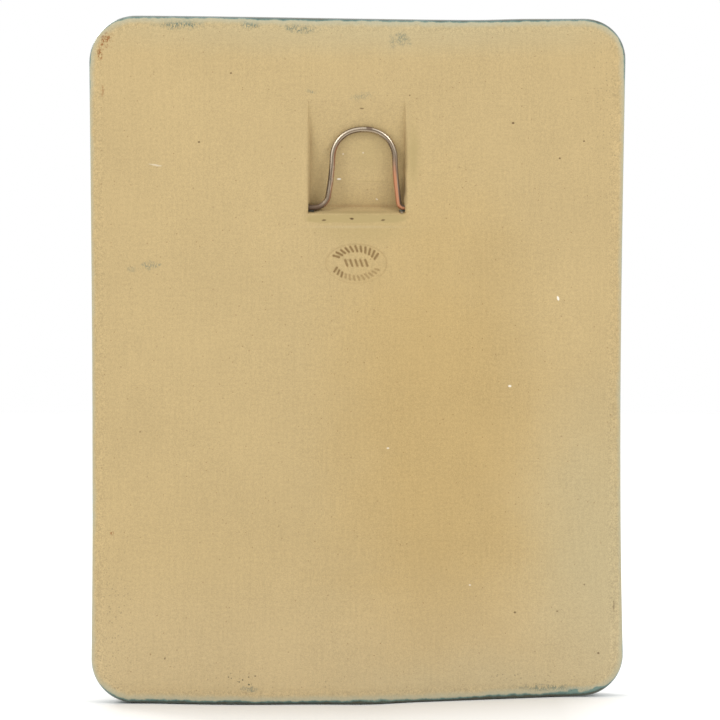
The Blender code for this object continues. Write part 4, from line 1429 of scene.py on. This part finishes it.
@dataclass
class HangerWire:
    """The bent wire loop, hinged in two holes at the pocket's bottom corners."""

    diameter: float = 0.0017
    shown_diameter: float = 0.0019
    floor_gap: float = 0.0003
    wall_gap: float = 0.00029
    loop_shift: float = -0.0021
    arch_half_width: float = 0.0106
    arch_rise: float = 0.0105
    fullness: float = 2.2
    splay: float = 0.0013
    bend_left: float = 0.0048
    bend_right: float = 0.0019
    end_left: float = 0.0030
    end_right: float = 0.0046
    sides: int = 28
    pocket: Pocket = field(default_factory=Pocket)

    def hinge(self) -> Vector:
        """Return the middle of the pivot axis."""
        pocket = self.pocket
        lean = math.atan2(pocket.lip_drop, pocket.depth - pocket.lip_depth)
        clear = (self.diameter / 2 + self.wall_gap) / math.cos(lean)
        drop = pocket.lip_drop * (pocket.depth - pocket.hinge_depth) / (pocket.depth - pocket.lip_depth)
        return Vector((0.0, -pocket.hinge_depth, pocket.crease - drop + clear))

    def arch(self) -> Vector:
        """Return the middle of the arch's wire."""
        pocket = self.pocket
        radius = self.diameter / 2
        clear = (radius + self.floor_gap) / math.cos(math.atan2(pocket.depth, pocket.height))
        return Vector((0.0, clear - float(pocket.floor(radius)), radius))

    def half_loop(self, height: float, bend: float, end_x: float) -> list[tuple[float, float]]:
        """Return half of the loop in its own plane, from the arch's top to the end.

        Args:
            height: Height of the arch's top above the pivot axis.
            bend: Radius of the bend at the leg's foot.
            end_x: How far out the end lies.

        Returns:
            Points across and up.
        """
        leg = self.arch_half_width + self.splay
        shoulder = height - self.arch_rise
        points = []
        for step in range(1, 31):
            angle = math.pi / 2 * (1 - step / 30)
            x = self.arch_half_width * max(math.cos(angle), 0) ** (2 / self.fullness)
            points.append((x, shoulder + self.arch_rise * math.sin(angle) ** (2 / self.fullness)))
        for step in range(1, 15):
            share = step / 14
            x = self.arch_half_width + self.splay * share**1.5
            points.append((x, shoulder + (bend - shoulder) * share))
        for step in range(1, 13):
            angle = math.pi / 2 * step / 12
            points.append((leg + bend * (1 - math.cos(angle)), bend * (1 - math.sin(angle))))
        points.append((end_x, 0.0))
        return points

    def path(self) -> list[Vector]:
        """Return the wire's middle line in the plaque's frame, end to end."""
        pocket = self.pocket
        hinge = self.hinge()
        reach = self.arch() - hinge
        height = math.hypot(reach.y, reach.z)
        right_wall = pocket.width / 2 - pocket.centre_x
        left_wall = pocket.width / 2 + pocket.centre_x
        left = self.half_loop(height, self.bend_left, left_wall + self.end_left - self.loop_shift)
        right = self.half_loop(height, self.bend_right, right_wall + self.end_right + self.loop_shift)
        flat = [(-x, h) for x, h in reversed(right)] + [(0.0, height)] + left
        tilt = math.atan2(reach.y, reach.z)
        points = []
        for x, h in flat:
            lift = Vector((0.0, math.sin(tilt) * h, math.cos(tilt) * h))
            points.append(hinge + Vector((x + self.loop_shift, 0, 0)) + lift)
        return points

    def tube(self) -> bpy.types.Mesh:
        """Sweep a round wire along the path by pulling its end face from point to point."""
        points = self.path()
        across = Vector((1, 0, 0)).cross(points[len(points) // 2] - self.hinge()).normalized()
        bm = bmesh.new()
        bmesh.ops.create_circle(bm, cap_ends=True, segments=self.sides, radius=self.shown_diameter / 2)
        bmesh.ops.transform(bm, matrix=self.frame_at(points, 0, across), verts=bm.verts)
        end = bm.faces[:]
        for index in range(1, len(points)):
            made = bmesh.ops.extrude_face_region(bm, geom=end)["geom"]
            if index > 1:
                bmesh.ops.delete(bm, geom=end, context="FACES")
            end = [item for item in made if isinstance(item, bmesh.types.BMFace)]
            before = self.frame_at(points, index - 1, across)
            after = self.frame_at(points, index, across)
            verts = [item for item in made if isinstance(item, bmesh.types.BMVert)]
            bmesh.ops.transform(bm, matrix=after @ before.inverted(), verts=verts)
        rims = [e for e in bm.edges if any(len(face.verts) > 4 for face in e.link_faces)]
        bmesh.ops.bevel(bm, geom=rims, offset=0.0002, segments=2, profile=0.5, affect="EDGES", material=-1)
        bmesh.ops.recalc_face_normals(bm, faces=bm.faces)
        mesh = mesh_from(bm, "hanger_loop")
        mesh.shade_smooth()
        mesh.set_sharp_from_angle(angle=math.radians(60))
        self.keep_way(mesh, across)
        return mesh

    def keep_way(self, mesh: bpy.types.Mesh, across: Vector) -> None:
        """Keep on each vertex its way along the wire and its place round it.

        Args:
            mesh: The finished wire.
            across: The direction square to the loop's own plane.
        """
        path = np.array([tuple(point) for point in self.path()])
        spots = read_points(mesh)
        nearest = ((spots[:, None] - path[None]) ** 2).sum(2).argmin(1)
        steps = np.sqrt((np.diff(path, axis=0) ** 2).sum(1))
        way = np.concatenate([[0.0], np.cumsum(steps)])[nearest]
        along = np.gradient(path, axis=0)[nearest]
        square = np.array(across)
        out = np.cross(square, along / np.sqrt((along**2).sum(1))[:, None])
        offset = (spots - path[nearest]) / (self.shown_diameter / 2)
        kept = {"wire_way": way, "wire_out": (offset * out).sum(1), "wire_front": offset @ square}
        keep_values(mesh, kept)

    @staticmethod
    def frame_at(points: list[Vector], index: int, across: Vector) -> Matrix:
        """Return the place and turn of the wire's round section at one point of its path."""
        before = points[max(index - 1, 0)]
        after = points[min(index + 1, len(points) - 1)]
        along = (after - before).normalized()
        side = across.cross(along).normalized()
        basis = Matrix((side, across, side.cross(across))).transposed().to_4x4()
        return Matrix.Translation(points[index]) @ basis

    def material(self) -> bpy.types.Material:
        """Return the oxidised steel with its rust and copper-coloured patches, a painted highlight and a
        painted shade band along its middle.
        """
        finish = WireFinish()
        made, wires, shader = new_material("oxidised_wire")
        place, (x, _, z) = wires.place()
        out = wires.attribute("wire_out")
        way = wires.times(wires.attribute("wire_way"), 90.0)
        drawn = {0: way, 1: wires.times(out, 1.9), 2: wires.attribute("wire_front")}
        drawn = wires.node("ShaderNodeCombineXYZ", drawn).outputs[0]
        streak = wires.noise(drawn, 1.0, 3.0, 0.6)
        patch = wires.noise(place, 420.0, 4.0, 0.6)
        fine = wires.noise(place, 2600.0, 3.0, 0.6)
        # Darker oxide streaks, and a painted shade band along the wire's middle, towards its inner side.
        middle = wires.size(wires.plus(out, 0.08))
        oxide_streaks_and_shade = wires.most(wires.ramp(streak, 0.42, 0.64), wires.ramp(middle, 0.04, 0.34, 0.8, 0.0))
        colour = wires.blend(oxide_streaks_and_shade, finish.steel, finish.dark)
        # Painted highlight: a light streak along the outer side of the wire's upper part.
        painted_highlight = wires.times(
            wires.ramp(wires.size(wires.minus(out, 0.46)), 0.06, 0.30, 0.85, 0.0),
            wires.ramp(z, *finish.painted_highlight_z),
            wires.ramp(streak, 0.4, 0.66, 1.0, 0.35),
        )
        colour = wires.blend(painted_highlight, colour, finish.painted_highlight)
        reddish = wires.times(
            wires.ramp(out, -0.75, -0.2, 1.0, 0.0),
            self.window(wires, x, *finish.left_leg_x),
            wires.ramp(patch, 0.3, 0.5, 0.3, 1.0),
            wires.ramp(z, *finish.rust_z, 1.0, 0.0),
        )
        colour = wires.blend(wires.times(reddish, 0.9), colour, finish.rust)
        apex = wires.times(
            self.window(wires, x, *finish.apex_x), wires.ramp(out, -0.5, 0.3), wires.ramp(z, *finish.apex_z)
        )
        foot = wires.times(wires.ramp(x, *finish.foot_x), wires.ramp(z, *finish.foot_z, 1.0, 0.0))
        leg = wires.ramp(x, *finish.right_leg_x, 1.0, 0.0)
        outer = wires.times(leg, wires.ramp(z, *finish.outer_z, 0.75, 0.0), wires.ramp(out, 0.15, 0.45))
        burnt = wires.most(apex, foot, outer)
        colour = wires.blend(wires.times(burnt, 0.85), colour, finish.burnt)
        copper = wires.times(
            leg,
            wires.ramp(z, *finish.copper_z, 1.0, 0.0),
            wires.ramp(out, 0.05, 0.4, 1.0, 0.0),
            wires.ramp(fine, 0.3, 0.55, 0.7, 1.0),
        )
        covered = wires.most(burnt, wires.most(reddish, wires.times(copper, 0.5)))
        rough = wires.ramp(covered, 0.0, 1.0, finish.roughness, finish.rust_roughness)
        height = wires.times(wires.plus(fine, wires.times(streak, 1.5)), finish.relief)
        looks = {
            "Base Color": wires.blend(copper, colour, finish.copper),
            "Metallic": wires.ramp(covered, 0.0, 1.0, 0.95, 0.4),
            "Roughness": wires.plus(rough, wires.ramp(fine, 0.3, 0.7, -0.06, 0.08)),
            "Normal": wires.node("ShaderNodeBump", {"Height": height, "Distance": 1.0}).outputs[0],
        }
        wires.feed(shader, looks)
        return made

    @staticmethod
    def window(wires: Wiring, value: Socket, low: float, high: float) -> Socket:
        """Return 1 where the value lies between two limits, with soft ends."""
        soft = 0.0008
        rise = wires.ramp(value, low, low + soft)
        return wires.times(rise, wires.ramp(value, high - soft, high, 1.0, 0.0))

    def build(self) -> bpy.types.Object:
        """Make the wire loop, dress it and hinge it in the frame."""
        piece = place_object("steel_hanger_loop", self.tube())
        piece.data.materials.append(self.material())
        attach(piece, "hanger")
        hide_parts("hanger_wire")
        return piece


LAMPS = {
    "right_softbox": ((-1.0, 0.9, 0.75), 0.4, 6.0),
    "left_softbox": ((1.0, 0.9, 0.75), 0.4, 6.0),
    "top_softbox": ((0.1, -0.35, 1.3), 1.0, 3.0),
    "front_softbox": ((0.75, -1.0, 0.7), 0.5, 6.0),
}


@dataclass
class Studio:
    """A plain pale floor, soft light and a camera at the photograph's angle."""

    floor_z: float = -0.19395
    gap: float = 0.00006
    distance: float = 1.10
    frame_width: float = 0.2434
    look_x: float = -0.00085
    look_z: float = -0.0772
    sensor: float = 36.0
    world: float = 1.0
    glow_x: float = 0.006
    glow_half: float = 0.072

    def floor(self) -> bpy.types.Object:
        """Lay the pale floor, which yields to the plaque's bowed foot."""
        across = spaced([(-6.0, 0), (-0.3, 6), (-0.12, 6), (0.12, 60), (0.3, 6), (6.0, 6)])
        ahead = spaced([(-6.0, 0), (-0.14, 6), (-0.04, 5), (0.03, 14), (0.14, 8), (6.0, 8)])
        bm = bmesh.new()
        bmesh.ops.create_grid(bm, x_segments=len(across) - 1, y_segments=len(ahead) - 1, size=1)
        mesh = mesh_from(bm, "floor")
        spots = read_points(mesh)
        x = on_line(spots[:, 0], across)
        y = on_line(spots[:, 1], ahead)
        near = 1 - smooth_share((np.abs(x) - 0.09) / 0.12)
        near = near * (1 - smooth_share((np.abs(y + 0.008) - 0.02) / 0.10))
        lift = Slab().foot(x) - self.gap - self.floor_z
        move_points(mesh, np.column_stack([x, y, self.floor_z + lift * near]))
        mesh.shade_smooth()
        made = place_object("floor", mesh)
        mesh.materials.append(self.paper())
        return made

    def paper(self) -> bpy.types.Material:
        """Return the white paper of the floor, with painted light: it glows more the further it lies from
        the plaque.
        """
        material, wires, shader = new_material("white_paper")
        _, (x, y, _) = wires.place()
        side = wires.times(wires.minus(wires.size(wires.minus(x, self.glow_x)), self.glow_half), 4.0)
        away = wires.plus(wires.most(side, 0.0), wires.size(y))
        glow = wires.node("ShaderNodeMapRange", {0: away, 1: 0.01, 2: 0.12}).outputs[0]
        looks = {
            # Painted light: the paper glows, more the further it lies from the plaque.
            "Emission Color": wires.blend(glow, (0, 0, 0), (1, 1, 1)),
            "Emission Strength": 0.26,
            "Base Color": (0.735, 0.73, 0.715, 1),
            "Roughness": 0.8,
        }
        wires.feed(shader, looks)
        return material

    def lamp(self, name: str, at: tuple[float, float, float], size: float, power: float) -> None:
        """Hang one soft square lamp that faces the plaque."""
        light = bpy.data.lights.new(name, "AREA")
        light.size = size
        light.energy = power
        made = place_object(name, light)
        made.location = at
        aim = Vector((self.look_x, 0, self.look_z)) - Vector(at)
        made.rotation_euler = aim.to_track_quat("-Z", "Y").to_euler()

    def build(self) -> None:
        """Set up the floor, the lamps, the world and the camera."""
        self.floor()
        for name, (at, size, power) in LAMPS.items():
            self.lamp(name, at, size, power)
        world = bpy.data.worlds.new("white_room")
        world.use_nodes = True
        back = world.node_tree.nodes["Background"]
        back.inputs["Color"].default_value = (1, 1, 1, 1)
        back.inputs["Strength"].default_value = self.world
        bpy.context.scene.world = world
        camera = bpy.data.cameras.new("camera")
        camera.sensor_width = self.sensor
        camera.lens = self.sensor * self.distance / self.frame_width
        made = place_object("camera", camera)
        made.location = (self.look_x, self.distance, self.look_z)
        made.rotation_euler = (math.pi / 2, 0, math.pi)
        bpy.context.scene.camera = made
        bpy.context.scene.view_settings.view_transform = "Standard"


def report(piece: bpy.types.Object) -> None:
    """Log a finished piece's name and size."""
    mesh = piece.data
    mesh.calc_loop_triangles()
    size = ", ".join(f"{value * 1000:.2f}" for value in piece.dimensions)
    log.info("%s: %d triangles, %s mm", piece.name, len(mesh.loop_triangles), size)


def main() -> None:
    """Build the pieces in order and report each."""
    logging.basicConfig(level=logging.INFO, format="%(message)s")
    Studio().build()
    for maker in (Plaque(), HangerWire()):
        report(maker.build())


if __name__ == "__main__":
    main()
